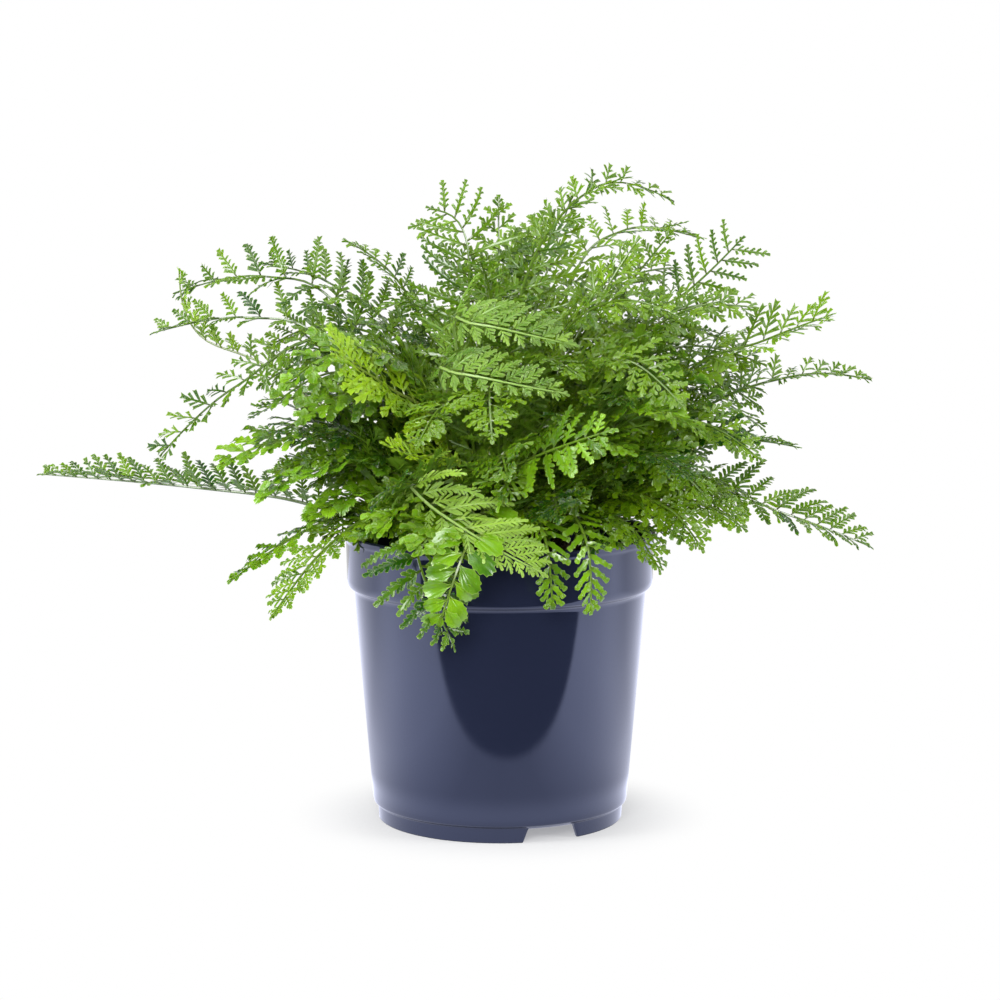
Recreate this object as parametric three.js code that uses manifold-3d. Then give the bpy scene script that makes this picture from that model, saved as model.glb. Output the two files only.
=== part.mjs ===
// Potted fern: a glossy nursery pot filled with peat, a scaly fern crown set in
// the peat, and fronds that stand in plain holes in the crown.
// Millimetres, +Z up, the pot's foot on z = 0. Photo right is +X, away from the
// viewer is +Y. The origin lies under the middle of the whole plant's box.

import * as THREE from 'three';
import { mergeVertices } from 'three/addons/utils/BufferGeometryUtils.js';
import Module from 'manifold-3d';

const wasm = await Module();
wasm.setup();

// The pot's axis stands off the origin, because the fronds reach furthest left
const POT_AXIS_X = 18;
const POT_AXIS_Y = -21;

// Pot: injection moulded, 14 cm across its lip
const LIP_RADIUS = 70;
const POT_HEIGHT = 131;
const FOOT_RADIUS = 55.2;
const FOOT_HEIGHT = 6.7;
const FOOT_WALL = 1.6;
const BODY_FOOT_RADIUS = 57.7;
const BODY_FOOT_Z = 10;
const BODY_TOP_RADIUS = 65.7;
const BODY_TOP_Z = 104.6;
const BAND_RADIUS = 68.9;
const BAND_Z = 109;
const BAND_TOP_RADIUS = 69.4;
const BAND_TOP_Z = 126.8;
const WALL = 1.3;
const LIP_WALL = 1.9;
const FOOT_FLARE = 0.4;
const LEDGE_RISE = 1.2;
const BAND_STEP = 2.4;
const LIP_STEP = 1.4;
const CORNER = 0.6;
const INNER_CORNER = 1.5;
const FLOOR_UNDERSIDE_Z = 8.2;
const FLOOR_TOP_Z = 9.6;
const ROUND_SIDES = 28;
const NOTCH_COUNT = 3;
const NOTCH_AZIMUTH = 294.5;
const NOTCH_WIDTH_DOWN = 28;
const NOTCH_WIDTH_UP = 23;
const NOTCH_HEIGHT = 6.3;
const DRAIN_COUNT = 5;
const DRAIN_RADIUS = 4.5;
const DRAIN_RING_RADIUS = 38;
const DRAIN_SIDES = 6;
const CUT_MARGIN = 1;

// Peat and crown
const GAP = 0.4;
const SOIL_TOP_Z = 116;
const SOIL_RISE = 1.2;
const SOIL_EDGE = 1.2;
const LUMP_HEIGHT = 0.8;
const CROWN_RADIUS = 42;
const CROWN_FOOT_Z = 108;
const CROWN_EDGE_Z = 117.5;
const CROWN_RISE = 10;
const CROWN_STATIONS = [42, 38, 30.5, 23, 13, 0];
const SCALE_HEIGHT = 0.9;
const HOLE_SIDE = 2.6;
const HOLE_FLOOR_Z = 112;

// Stalks: a square peg in the hole, then a rib that tapers to the tip
const PEG_SIDE = 1.9;
const RIB_TIP_WIDTH = 1.0;
const RIB_TIP_THICKNESS = 0.8;
const RIB_THINNING = 1.6;
const BARE_SHARE = 0.27;
const STALK_STATIONS = 2;
const SPINE_STEPS = 90;

// How a stalk leaves the crown: share of its chord outwards, and extra upwards
const LAUNCH_OUT = 0.5;
const LAUNCH_UP = 0.25;

// Leaflets: outline points as [share of the length, share of the half width],
// from the near end of the root round the tip to the far end
const SLIM_LEAFLET = [[0.4, -1], [1, 0.15], [0.5, 1]];
const CUT_LEAFLET = [[0.4, -1.05], [0.5, -0.5], [1, 0.1], [0.6, 0.55], [0.46, 1.05]];
const FAN_LEAFLET = [[0.6, -1.1], [0.72, -0.6], [1, 0], [0.82, 0.6], [0.7, 1.1]];
const KINDS = {
  fine: { leaflet: SLIM_LEAFLET, plumpness: 0.36 },
  young: { leaflet: SLIM_LEAFLET, plumpness: 0.34 },
  medium: { leaflet: CUT_LEAFLET, plumpness: 0.42 },
  fans: { leaflet: FAN_LEAFLET, plumpness: 0.42 },
};
const BLADE_THICKNESS = 0.7;
const LEAFLET_ANGLE_BASE = 78;
const LEAFLET_ANGLE_TIP = 52;
const FOLD_LIMITS = [-45, 72];

// A frond is widest at this share of its blade; its ends are narrower. Towards
// the tip the leaflets stand closer, and one leaflet closes the tip.
const WIDEST_AT = 0.3;
const FOOT_WIDTH_SHARE = 0.72;
const TIP_WIDTH_SHARE = 0.24;
const CROWDING = 0.25;
const TIP_LEAFLET = [[0.45, 1], [1, 0], [0.45, -1]];
const TIP_LENGTH = 0.2;
const TIP_PLUMPNESS = 0.4;

// Leaflets keep this far from other fronds, from the pot's outside and from the
// peat and crown, centre to centre. Those furthest from the heart come first.
const CLEARANCE = 2.3;
const POT_MARGIN = 1.5;
const GROUND_MARGIN = 2;
const HEART_Z = 150;
const SAMPLE_STEP = 1;
const TURNS = [0, 8, -8, 16, -16, 25, -25, 36, -36];
const SHORTENINGS = [1, 0.84, 0.7, 0.56];

// Radii of the rings of the crown that the stalks grow from
const RINGS = { outer: 34, low: 27, middle: 19, high: 11.5, top: 4.5 };

// Fronds, ring by ring: name, azimuth in degrees from +X, sway (how far the tip
// turns from it), then radius from the pot's axis and height at one third, two
// thirds and the whole of the way, roll of the blade, fold of the leaflets into a
// V, width, kind and pairs of leaflets
const FRONDS = {
  outer: [
    ['left',         184,   0,  85, 143, 134, 151, 205, 158,   0, 50, 40, 'fine', 8],
    ['left_front',   203,   0,  60, 143,  92, 136, 128, 115,   0,  8, 38, 'fans', 5],
    ['front_left',   222,   0,  60, 146,  98, 134, 130, 106,   0, 15, 40, 'fine', 7],
    ['hang_dark',    246,  12,  64, 147,  88, 130,  92,  94,   0,  8, 48, 'medium', 6],
    ['hang_fans',    266, -11,  64, 149,  94, 136,  99, 104,   0,  4, 36, 'fans', 6],
    ['hang_small',   283,   2,  62, 146,  82, 136,  86, 110,   0, 12, 30, 'fine', 6],
    ['hang_slim',    296,   0,  62, 147,  84, 136,  88, 107,   0, 12, 32, 'fine', 7],
    ['rim_right',    312,   0,  60, 144,  82, 142, 102, 124,   0, 15, 38, 'fine', 7],
    ['right_front',  332,   0,  60, 146,  96, 145, 124, 128,   0, 15, 44, 'medium', 5],
    ['right',        349,   0,  80, 154, 130, 141, 166, 128,   0, 36, 46, 'fine', 8],
    ['back_a',        34,   4,  66, 148, 104, 150, 140, 132,   0, 15, 42, 'medium', 5],
    ['back_b',        70,  -4,  66, 147, 108, 146, 148, 124,   0, 15, 44, 'fine', 7],
    ['back_c',       106,   5,  66, 149, 108, 150, 148, 132,   0, 15, 44, 'fine', 7],
    ['back_d',       145,   0,  66, 148, 102, 152, 134, 144,   0, 18, 42, 'fans', 5],
  ],
  low: [
    ['left_curl',    171,   0,  96, 196, 138, 217, 147, 247,   0, 45, 30, 'young', 7],
    ['left_fans',    197,   0,  55, 167,  95, 176, 128, 164,   0, 30, 46, 'fans', 5],
    ['left_fans_b',  211,   0,  54, 158,  92, 158, 122, 142,   0, 15, 44, 'fans', 5],
    ['front_young',  240,  -3,  45, 166,  70, 171,  92, 179, -30, 20, 28, 'young', 6],
    ['front_right',  303,   4,  45, 163,  70, 178,  94, 174,   0,  6, 46, 'medium', 5],
    ['right_front',  320,   0,  50, 164,  85, 172, 116, 154,   0, 18, 44, 'fine', 7],
    ['right_droop',  338,   0,  54, 174,  90, 184, 122, 168,   0, 18, 44, 'medium', 5],
    ['right_long',     4,   2,  86, 181, 132, 199, 169, 197,   0, 35, 36, 'fine', 8],
    ['right_under',   14,   0,  74, 160, 110, 168, 142, 164,   0, 25, 36, 'fine', 7],
    ['back_a',        27,  -4,  60, 176, 100, 188, 134, 170,   0, 15, 42, 'fine', 7],
    ['back_b',        52,   4,  58, 172, 100, 184, 142, 164,   0, 12, 44, 'medium', 5],
    ['back_c',        84,  -4,  58, 178, 100, 190, 144, 172,   0, 15, 44, 'fine', 7],
    ['back_d',       118,   5,  58, 174,  98, 186, 138, 166,   0, 12, 44, 'medium', 5],
    ['back_e',       150,   0,  60, 174, 100, 186, 136, 174,   0, 18, 42, 'fine', 7],
  ],
  middle: [
    ['left_droop',   189,   0,  72, 214, 117, 198, 152, 167,   0, 15, 44, 'fine', 8],
    ['left',         177,   0,  76, 212, 112, 226, 156, 219,   0, 50, 42, 'fine', 7],
    ['left_front',   206,   2,  42, 202,  76, 214, 106, 200,   0, 20, 44, 'medium', 5],
    ['young',        223,  -3,  36, 178,  64, 197,  90, 213, -50, 10, 42, 'young', 8],
    ['front_left',   243,   0,  36, 196,  62, 206,  88, 192,   0,  8, 42, 'medium', 5],
    ['front',        264,   4,  34, 190,  60, 200,  92, 182,   0,  8, 44, 'medium', 5],
    ['front_pale',   284,  12,  28, 190,  54, 212,  80, 206,   0,  6, 40, 'medium', 5],
    ['right_front',  317,   0,  38, 198,  72, 212, 106, 194,   0, 15, 44, 'fine', 7],
    ['right',        349,   0,  80, 200, 118, 218, 148, 230,   0, 28, 44, 'fine', 7],
    ['back_a',        20,   0,  42, 204,  80, 221, 118, 208,   0, 18, 44, 'fine', 7],
    ['back_b',        66,   4,  38, 202,  76, 220, 114, 204,   0, 12, 44, 'fine', 7],
    ['back_c',       104,  -4,  38, 204,  74, 222, 112, 206,   0, 12, 44, 'medium', 5],
    ['back_d',       140,   3,  38, 202,  76, 220, 114, 206,   0, 15, 44, 'fine', 7],
  ],
  high: [
    ['left',         165,   0,  72, 226, 110, 243, 154, 235,   0, 60, 48, 'fine', 8],
    ['left_back',    146,   4,  30, 200,  54, 240,  82, 259,   0, 15, 40, 'fine', 7],
    ['front_left',   222,   0,  24, 208,  48, 234,  72, 232,   0, 10, 42, 'fine', 6],
    ['front',        275,  22,  20, 200,  38, 229,  58, 226,   0,  6, 42, 'medium', 5],
    ['right_front',  333,   0,  26, 210,  54, 235,  86, 230,   0, 12, 44, 'fine', 7],
    ['right',          8,   0,  52, 212,  86, 238, 110, 261,   0, 20, 46, 'fine', 7],
    ['right_mid',     30,   0,  34, 214,  62, 240,  96, 246,   0, 15, 46, 'fine', 7],
    ['right_back',    52,  -8,  50, 236,  86, 262, 130, 258,   0, 22, 42, 'fine', 8],
    ['back',          96, -26,  30, 212,  58, 250,  88, 268,   0, 18, 40, 'young', 7],
  ],
  top: [
    ['left',         152,   0,  12, 200,  26, 246,  40, 280,   0, 12, 52, 'fine', 8],
    ['back',          92,   0,   8, 205,  14, 250,  20, 286,   0, 12, 52, 'fine', 7],
    ['arch',          20,   0,  10, 236,  44, 283,  84, 277,   0, 35, 38, 'young', 8],
    ['front',        258,   0,   8, 196,  20, 236,  42, 254,   0, 12, 46, 'fine', 7],
  ],
};

// Finishes
const POT_PLASTIC = new THREE.MeshStandardMaterial({ color: 0x2b3050, roughness: 0.18, metalness: 0 });
const PEAT = new THREE.MeshStandardMaterial({ color: 0x17120c, roughness: 0.95, metalness: 0 });
const CROWN_SCALE = new THREE.MeshStandardMaterial({ color: 0x3a2a1c, roughness: 0.85, metalness: 0 });
const LEAF_COLOURS = { fine: 0x3f7a22, young: 0x86ad2c, medium: 0x4f8f26, fans: 0x6a9f30 };

const radians = (degrees) => degrees * Math.PI / 180;
const UP = new THREE.Vector3(0, 0, 1);

// Pot

// Outer radius of the pot at a height, for keeping leaflets off it
function potOuterRadius(z) {
  if (z < BODY_FOOT_Z) return BODY_FOOT_RADIUS;
  if (z > BODY_TOP_Z) return LIP_RADIUS;
  const share = (z - BODY_FOOT_Z) / (BODY_TOP_Z - BODY_FOOT_Z);
  return BODY_FOOT_RADIUS + share * (BODY_TOP_RADIUS - BODY_FOOT_RADIUS);
}

// Half section of the moulding, from the underside of its floor round the foot
// ring, up the outside, over the lip and down the inside
function potProfile() {
  const section = [
    [0, FLOOR_UNDERSIDE_Z],
    [FOOT_RADIUS - FOOT_WALL, FLOOR_UNDERSIDE_Z],
    [FOOT_RADIUS - FOOT_WALL, 0],
    [FOOT_RADIUS, 0],
    [FOOT_RADIUS + FOOT_FLARE, FOOT_HEIGHT],
    [BODY_FOOT_RADIUS - CORNER, FOOT_HEIGHT + LEDGE_RISE],
    [BODY_FOOT_RADIUS, BODY_FOOT_Z],
    [BODY_TOP_RADIUS, BODY_TOP_Z],
    [BAND_RADIUS - CORNER, BAND_Z - BAND_STEP],
    [BAND_RADIUS, BAND_Z],
    [BAND_TOP_RADIUS, BAND_TOP_Z],
    [LIP_RADIUS, BAND_TOP_Z + LIP_STEP],
    [LIP_RADIUS, POT_HEIGHT - CORNER],
    [LIP_RADIUS - CORNER, POT_HEIGHT],
    [LIP_RADIUS - LIP_WALL, POT_HEIGHT - CORNER],
    [BAND_RADIUS - WALL, BAND_Z - CORNER],
    [BODY_TOP_RADIUS - WALL, BODY_TOP_Z - CORNER],
    [BODY_FOOT_RADIUS - WALL, FLOOR_TOP_Z + INNER_CORNER],
    [BODY_FOOT_RADIUS - WALL - CORNER, FLOOR_TOP_Z],
    [0, FLOOR_TOP_Z],
  ];
  return section.map(([r, z]) => new THREE.Vector2(r, z));
}

// A lathe's axis turned from Y to Z
function latheUpright(points, sides) {
  const geometry = new THREE.LatheGeometry(points, sides);
  geometry.rotateX(Math.PI / 2);
  return geometry;
}

function toManifold(geometry) {
  const bare = geometry.clone();
  bare.deleteAttribute('normal');
  bare.deleteAttribute('uv');
  const merged = mergeVertices(bare, 1e-4);
  return new wasm.Manifold(new wasm.Mesh({
    numProp: 3,
    vertProperties: Float32Array.from(merged.attributes.position.array),
    triVerts: Uint32Array.from(merged.index.array),
  }));
}

function toGeometry(solid) {
  const mesh = solid.getMesh();
  const geometry = new THREE.BufferGeometry();
  geometry.setAttribute('position', new THREE.BufferAttribute(Float32Array.from(mesh.vertProperties), 3));
  geometry.setIndex(new THREE.BufferAttribute(Uint32Array.from(mesh.triVerts), 1));
  geometry.computeVertexNormals();
  return geometry;
}

// Wedge that cuts one gap in the foot ring: wider at the floor than at its top
function notchCutter(azimuth) {
  const middle = FOOT_RADIUS - FOOT_WALL / 2;
  const halfDown = middle * Math.tan(radians(NOTCH_WIDTH_DOWN / 2));
  const halfUp = middle * Math.tan(radians(NOTCH_WIDTH_UP / 2));
  const depth = 10 * FOOT_WALL;
  const outline = new THREE.Shape();
  outline.moveTo(-halfDown, -CUT_MARGIN);
  outline.lineTo(halfDown, -CUT_MARGIN);
  outline.lineTo(halfUp, NOTCH_HEIGHT);
  outline.lineTo(-halfUp, NOTCH_HEIGHT);
  outline.closePath();
  const cutter = new THREE.ExtrudeGeometry(outline, { depth, bevelEnabled: false });
  cutter.rotateX(Math.PI / 2);
  cutter.rotateZ(Math.PI / 2);
  cutter.translate(middle - depth / 2, 0, 0);
  cutter.rotateZ(azimuth);
  return toManifold(cutter);
}

function drainCutter(azimuth) {
  const depth = FLOOR_TOP_Z - FLOOR_UNDERSIDE_Z + 2 * CUT_MARGIN;
  const drain = new THREE.CylinderGeometry(DRAIN_RADIUS, DRAIN_RADIUS, depth, DRAIN_SIDES);
  drain.rotateX(Math.PI / 2);
  drain.translate(DRAIN_RING_RADIUS, 0, (FLOOR_UNDERSIDE_Z + FLOOR_TOP_Z) / 2);
  drain.rotateZ(azimuth);
  return toManifold(drain);
}

function makePot() {
  let pot = toManifold(latheUpright(potProfile(), ROUND_SIDES));
  for (let i = 0; i < NOTCH_COUNT; i += 1) {
    pot = pot.subtract(notchCutter(radians(NOTCH_AZIMUTH + i * 360 / NOTCH_COUNT)));
  }
  for (let i = 0; i < DRAIN_COUNT; i += 1) {
    pot = pot.subtract(drainCutter(radians(i * 360 / DRAIN_COUNT)));
  }
  return toGeometry(pot);
}

// Peat: fills the pot to below its lip, with a bowl for the crown

function makeSoil() {
  const lower = BODY_FOOT_RADIUS - WALL - GAP;
  const upper = BODY_TOP_RADIUS - WALL - GAP;
  const top = BAND_RADIUS - WALL - GAP;
  const bowl = CROWN_RADIUS + GAP;
  const section = [
    [0, FLOOR_TOP_Z + GAP],
    [lower - INNER_CORNER, FLOOR_TOP_Z + GAP],
    [lower, FLOOR_TOP_Z + GAP + INNER_CORNER],
    [upper, BODY_TOP_Z],
    [top, BAND_Z],
    [top, SOIL_TOP_Z - SOIL_EDGE],
    [top - SOIL_EDGE, SOIL_TOP_Z],
    [(top + bowl) / 2, SOIL_TOP_Z + SOIL_RISE],
    [bowl + SOIL_EDGE, SOIL_TOP_Z + SOIL_RISE / 2],
    [bowl, SOIL_TOP_Z],
    [bowl, CROWN_FOOT_Z - GAP],
    [0, CROWN_FOOT_Z - GAP],
  ];
  const soil = latheUpright(section.map(([r, z]) => new THREE.Vector2(r, z)), ROUND_SIDES);
  const position = soil.attributes.position;
  for (let i = 0; i < position.count; i += 1) {
    const radius = Math.hypot(position.getX(i), position.getY(i));
    const azimuth = Math.atan2(position.getY(i), position.getX(i));
    if (position.getZ(i) > SOIL_TOP_Z + 0.9 * SOIL_RISE) {
      const lump = Math.sin(5 * azimuth + 1) + 0.7 * Math.sin(11 * azimuth + radius);
      position.setZ(i, position.getZ(i) + LUMP_HEIGHT * lump);
    }
  }
  return toGeometry(toManifold(soil));
}

// Crown: a low scaly dome of old stalk bases, with one hole for each frond

function crownHeight(radius) {
  return CROWN_EDGE_Z + CROWN_RISE * (1 - (radius / CROWN_RADIUS) ** 2);
}

function makeCrown(fronds) {
  const section = [new THREE.Vector2(0, CROWN_FOOT_Z), new THREE.Vector2(CROWN_RADIUS, CROWN_FOOT_Z)];
  for (const radius of CROWN_STATIONS) {
    section.push(new THREE.Vector2(radius, crownHeight(radius)));
  }
  const dome = latheUpright(section, ROUND_SIDES);
  const position = dome.attributes.position;
  for (let i = 0; i < position.count; i += 1) {
    const radius = Math.hypot(position.getX(i), position.getY(i));
    const azimuth = Math.atan2(position.getY(i), position.getX(i));
    if (position.getZ(i) > CROWN_EDGE_Z + 1 && radius > 1) {
      const scale = Math.sin(14 * azimuth + radius) * Math.cos(0.55 * radius + 2);
      position.setZ(i, position.getZ(i) + SCALE_HEIGHT * scale);
    }
  }
  let crown = toManifold(dome);
  for (const frond of fronds) {
    const depth = 2 * (CROWN_EDGE_Z + CROWN_RISE - HOLE_FLOOR_Z);
    const hole = new THREE.BoxGeometry(HOLE_SIDE, HOLE_SIDE, depth);
    hole.rotateZ(radians(frond.azimuth));
    hole.translate(frond.root.x, frond.root.y, HOLE_FLOOR_Z + depth / 2);
    crown = crown.subtract(toManifold(hole));
  }
  return toGeometry(crown);
}

// Fronds

function readFronds() {
  const fronds = [];
  for (const [ring, rows] of Object.entries(FRONDS)) {
    for (const row of rows) {
      const [name, azimuth, sway, r1, z1, r2, z2, r3, z3, roll, fold, width, kind, pairs] = row;
      const start = RINGS[ring];
      const turn = radians(azimuth);
      fronds.push({
        name: `frond_${ring}_${name}`, azimuth, sway, roll, fold, width, kind, pairs,
        path: [[start, crownHeight(start)], [r1, z1], [r2, z2], [r3, z3]],
        root: new THREE.Vector3(start * Math.cos(turn), start * Math.sin(turn), 0),
      });
    }
  }
  return fronds;
}

// Radius and height along the path: cubic pieces whose slopes agree where they
// meet. The first one leaves the crown more steeply than its chord.
function pathPoint(path, share) {
  const chord = (a, b) => [path[b][0] - path[a][0], path[b][1] - path[a][1]];
  const piece = Math.min(Math.floor(share * 3), 2);
  const u = share * 3 - piece;
  const first = chord(0, 1);
  const last = chord(2, 3);
  const inner1 = chord(0, 2).map((v) => v / 2);
  const inner2 = chord(1, 3).map((v) => v / 2);
  const rise = Math.hypot(...first);
  const start = [LAUNCH_OUT * first[0], first[1] + LAUNCH_UP * rise];
  const end = last.map((v, i) => 1.5 * v - 0.5 * inner2[i]);
  const slopes = [start, inner1, inner2, end];
  return [0, 1].map((i) => (
    (2 * u ** 3 - 3 * u ** 2 + 1) * path[piece][i]
    + (u ** 3 - 2 * u ** 2 + u) * slopes[piece][i]
    + (3 * u ** 2 - 2 * u ** 3) * path[piece + 1][i]
    + (u ** 3 - u ** 2) * slopes[piece + 1][i]
  ));
}

function spinePoint(frond, share) {
  const [radius, height] = pathPoint(frond.path, share);
  const azimuth = radians(frond.azimuth + frond.sway * share ** 2);
  return new THREE.Vector3(radius * Math.cos(azimuth), radius * Math.sin(azimuth), height);
}

// The spine measured along its length, so that leaflets can be spaced evenly
function measureSpine(frond) {
  const points = [];
  const lengths = [0];
  for (let i = 0; i <= SPINE_STEPS; i += 1) {
    points.push(spinePoint(frond, i / SPINE_STEPS));
    if (i > 0) lengths.push(lengths[i - 1] + points[i].distanceTo(points[i - 1]));
  }
  frond.length = lengths[SPINE_STEPS];
  frond.at = (distance) => {
    let i = 1;
    while (i < SPINE_STEPS && lengths[i] < distance) i += 1;
    const part = (distance - lengths[i - 1]) / (lengths[i] - lengths[i - 1]);
    return points[i - 1].clone().lerp(points[i], part);
  };
}

// Axes of the spine at a distance: along it, to its left, and up from its face
function frameAt(frond, distance) {
  const step = 1;
  const ahead = frond.at(Math.min(distance + step, frond.length));
  const behind = frond.at(Math.max(distance - step, 0));
  const along = ahead.sub(behind).normalize();
  const turn = radians(frond.azimuth);
  const outward = new THREE.Vector3(Math.cos(turn), Math.sin(turn), 0);
  const left = new THREE.Vector3().crossVectors(UP, outward);
  left.addScaledVector(along, -left.dot(along)).normalize();
  const rollShare = Math.min(distance / (BARE_SHARE * frond.length), 1);
  left.applyAxisAngle(along, radians(frond.roll * rollShare));
  const face = new THREE.Vector3().crossVectors(along, left);
  return { at: frond.at(distance), along, left, face };
}

// Rib stations: peg foot, peg top, a few on the bare stalk, then one at each
// leaflet's root, closer together towards the tip
function ribStations(frond) {
  const taper = (share) => ({
    width: THREE.MathUtils.lerp(PEG_SIDE, RIB_TIP_WIDTH, share),
    thickness: THREE.MathUtils.lerp(PEG_SIDE, RIB_TIP_THICKNESS, Math.min(RIB_THINNING * share, 1)),
  });
  const bare = BARE_SHARE * frond.length;
  const bladeEnd = frond.length - TIP_LENGTH * frond.width;
  const stations = [];
  const foot = frameAt(frond, 0);
  const turn = radians(frond.azimuth);
  foot.along = UP.clone();
  foot.left = new THREE.Vector3(-Math.sin(turn), Math.cos(turn), 0);
  foot.face = new THREE.Vector3(-Math.cos(turn), -Math.sin(turn), 0);
  for (const height of [HOLE_FLOOR_Z + GAP, foot.at.z + 1]) {
    const at = foot.at.clone().setZ(height);
    stations.push({ ...foot, at, ...taper(0) });
  }
  for (let i = 1; i <= STALK_STATIONS; i += 1) {
    const distance = bare * i / (STALK_STATIONS + 1);
    stations.push({ ...frameAt(frond, distance), ...taper(distance / frond.length) });
  }
  frond.firstLeaflet = stations.length;
  for (let i = 0; i <= frond.pairs; i += 1) {
    const share = i / frond.pairs;
    const distance = bare + (bladeEnd - bare) * ((1 + CROWDING) * share - CROWDING * share ** 2);
    stations.push({ ...frameAt(frond, distance), ...taper(distance / frond.length), distance });
  }
  return stations;
}

// Length of a leaflet as a share of the half width
function leafletShare(share) {
  const rise = Math.sin(Math.min(share / WIDEST_AT, 1) * Math.PI / 2);
  const fall = Math.max((share - WIDEST_AT) / (1 - WIDEST_AT), 0) ** 2;
  return THREE.MathUtils.lerp(FOOT_WIDTH_SHARE, 1, rise) * THREE.MathUtils.lerp(1, TIP_WIDTH_SHARE, fall);
}

// Outline points of one leaflet, side 1 to the left and -1 to the right
function leafletOutline(frond, index, side, turned, shortened) {
  const near = frond.stations[frond.firstLeaflet + index];
  const far = frond.stations[frond.firstLeaflet + index + 1];
  const share = (index + 0.5) / frond.pairs;
  const lean = radians(THREE.MathUtils.lerp(LEAFLET_ANGLE_BASE, LEAFLET_ANGLE_TIP, share));
  const fold = radians(THREE.MathUtils.clamp(frond.fold + turned, ...FOLD_LIMITS));
  const along = near.along.clone().add(far.along).normalize();
  const left = near.left.clone().add(far.left).normalize();
  const face = near.face.clone().add(far.face).normalize();
  const outward = left.clone().multiplyScalar(side * Math.cos(fold)).addScaledVector(face, Math.sin(fold));
  const direction = along.clone().multiplyScalar(Math.cos(lean)).addScaledVector(outward, Math.sin(lean));
  const across = along.clone().addScaledVector(direction, -along.dot(direction)).normalize();
  const normal = new THREE.Vector3().crossVectors(across, direction).multiplyScalar(side);
  const spacing = far.distance - near.distance;
  const kind = KINDS[frond.kind];
  const length = frond.width / 2 * leafletShare(share) * shortened;
  const halfWidth = kind.plumpness * spacing * Math.sin(lean);
  const base = near.at.clone().add(far.at).multiplyScalar(0.5).addScaledVector(left, side * near.width / 2);
  const points = kind.leaflet.map(([alongShare, acrossShare]) => base.clone()
    .addScaledVector(direction, length * alongShare)
    .addScaledVector(across, halfWidth * acrossShare));
  return { points, normal };
}

// Triangles of a leaflet whose points run root, outline, root
function leafletTriangles(ids) {
  if (ids.length === 5) {
    const [a, b, c, d, e] = ids;
    return [[a, b, d], [b, c, d], [a, d, e]];
  }
  const [a, b, c, d, e, f, g] = ids;
  return [[a, b, c], [a, c, e], [c, d, e], [a, e, g], [g, e, f]];
}

// Points taken all over a triangle, for testing how near two blades come
function sampleTriangle(a, b, c) {
  const longest = Math.max(a.distanceTo(b), b.distanceTo(c), c.distanceTo(a));
  const steps = Math.max(1, Math.ceil(longest / SAMPLE_STEP));
  const samples = [];
  for (let i = 0; i <= steps; i += 1) {
    for (let j = 0; j <= steps - i; j += 1) {
      const point = a.clone().multiplyScalar((steps - i - j) / steps);
      samples.push(point.addScaledVector(b, i / steps).addScaledVector(c, j / steps));
    }
  }
  return samples;
}

// What is already in place, kept in cells one clearance wide
const placed = new Map();
const cellKey = (x, y, z) => `${x},${y},${z}`;
const cellOf = (point) => [point.x, point.y, point.z].map((v) => Math.floor(v / CLEARANCE));

function place(point, owner) {
  const key = cellKey(...cellOf(point));
  if (!placed.has(key)) placed.set(key, []);
  placed.get(key).push({ point, owner });
}

function isClear(point, owner) {
  const [cx, cy, cz] = cellOf(point);
  for (let x = cx - 1; x <= cx + 1; x += 1) {
    for (let y = cy - 1; y <= cy + 1; y += 1) {
      for (let z = cz - 1; z <= cz + 1; z += 1) {
        const others = placed.get(cellKey(x, y, z)) ?? [];
        if (others.some((o) => o.owner !== owner && o.point.distanceTo(point) < CLEARANCE)) return false;
      }
    }
  }
  return true;
}

function isOffPot(point) {
  const radius = Math.hypot(point.x, point.y);
  if (point.z < GROUND_MARGIN) return false;
  if (point.z > POT_HEIGHT + POT_MARGIN) return true;
  if (radius > potOuterRadius(point.z) + POT_MARGIN) return true;
  const inside = radius < BAND_RADIUS - WALL - GROUND_MARGIN;
  const onCrown = radius < CROWN_RADIUS + GROUND_MARGIN;
  const ground = onCrown ? crownHeight(Math.min(radius, CROWN_RADIUS)) : SOIL_TOP_Z + 2 * SOIL_RISE;
  return inside && point.z > ground + GROUND_MARGIN;
}

// Leaflets find their place from the outside of the plant inwards. One that would
// cross another frond is turned about its rib or shortened, or else left out.
function placeLeaflets(fronds) {
  const waiting = [];
  const heart = new THREE.Vector3(0, 0, HEART_Z);
  for (const frond of fronds) {
    frond.leaflets = new Map();
    for (let distance = 0; distance <= frond.length; distance += SAMPLE_STEP) {
      place(frond.at(distance), frond.name);
    }
    for (let index = 0; index < frond.pairs; index += 1) {
      const reach = frond.stations[frond.firstLeaflet + index].at.distanceTo(heart);
      for (const side of [1, -1]) waiting.push({ frond, index, side, reach });
    }
  }
  waiting.sort((a, b) => b.reach - a.reach);
  for (const { frond, index, side } of waiting) {
    const near = frond.stations[frond.firstLeaflet + index].at;
    const far = frond.stations[frond.firstLeaflet + index + 1].at;
    search: for (const shortened of SHORTENINGS) {
      for (const turned of TURNS) {
        const outline = leafletOutline(frond, index, side, turned, shortened);
        const ring = [near, ...outline.points, far];
        const samples = leafletTriangles(ring).flatMap((corners) => sampleTriangle(...corners));
        if (samples.every((point) => isOffPot(point) && isClear(point, frond.name))) {
          samples.forEach((point) => place(point, frond.name));
          frond.leaflets.set(`${index},${side}`, outline);
          break search;
        }
      }
    }
  }
}

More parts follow.
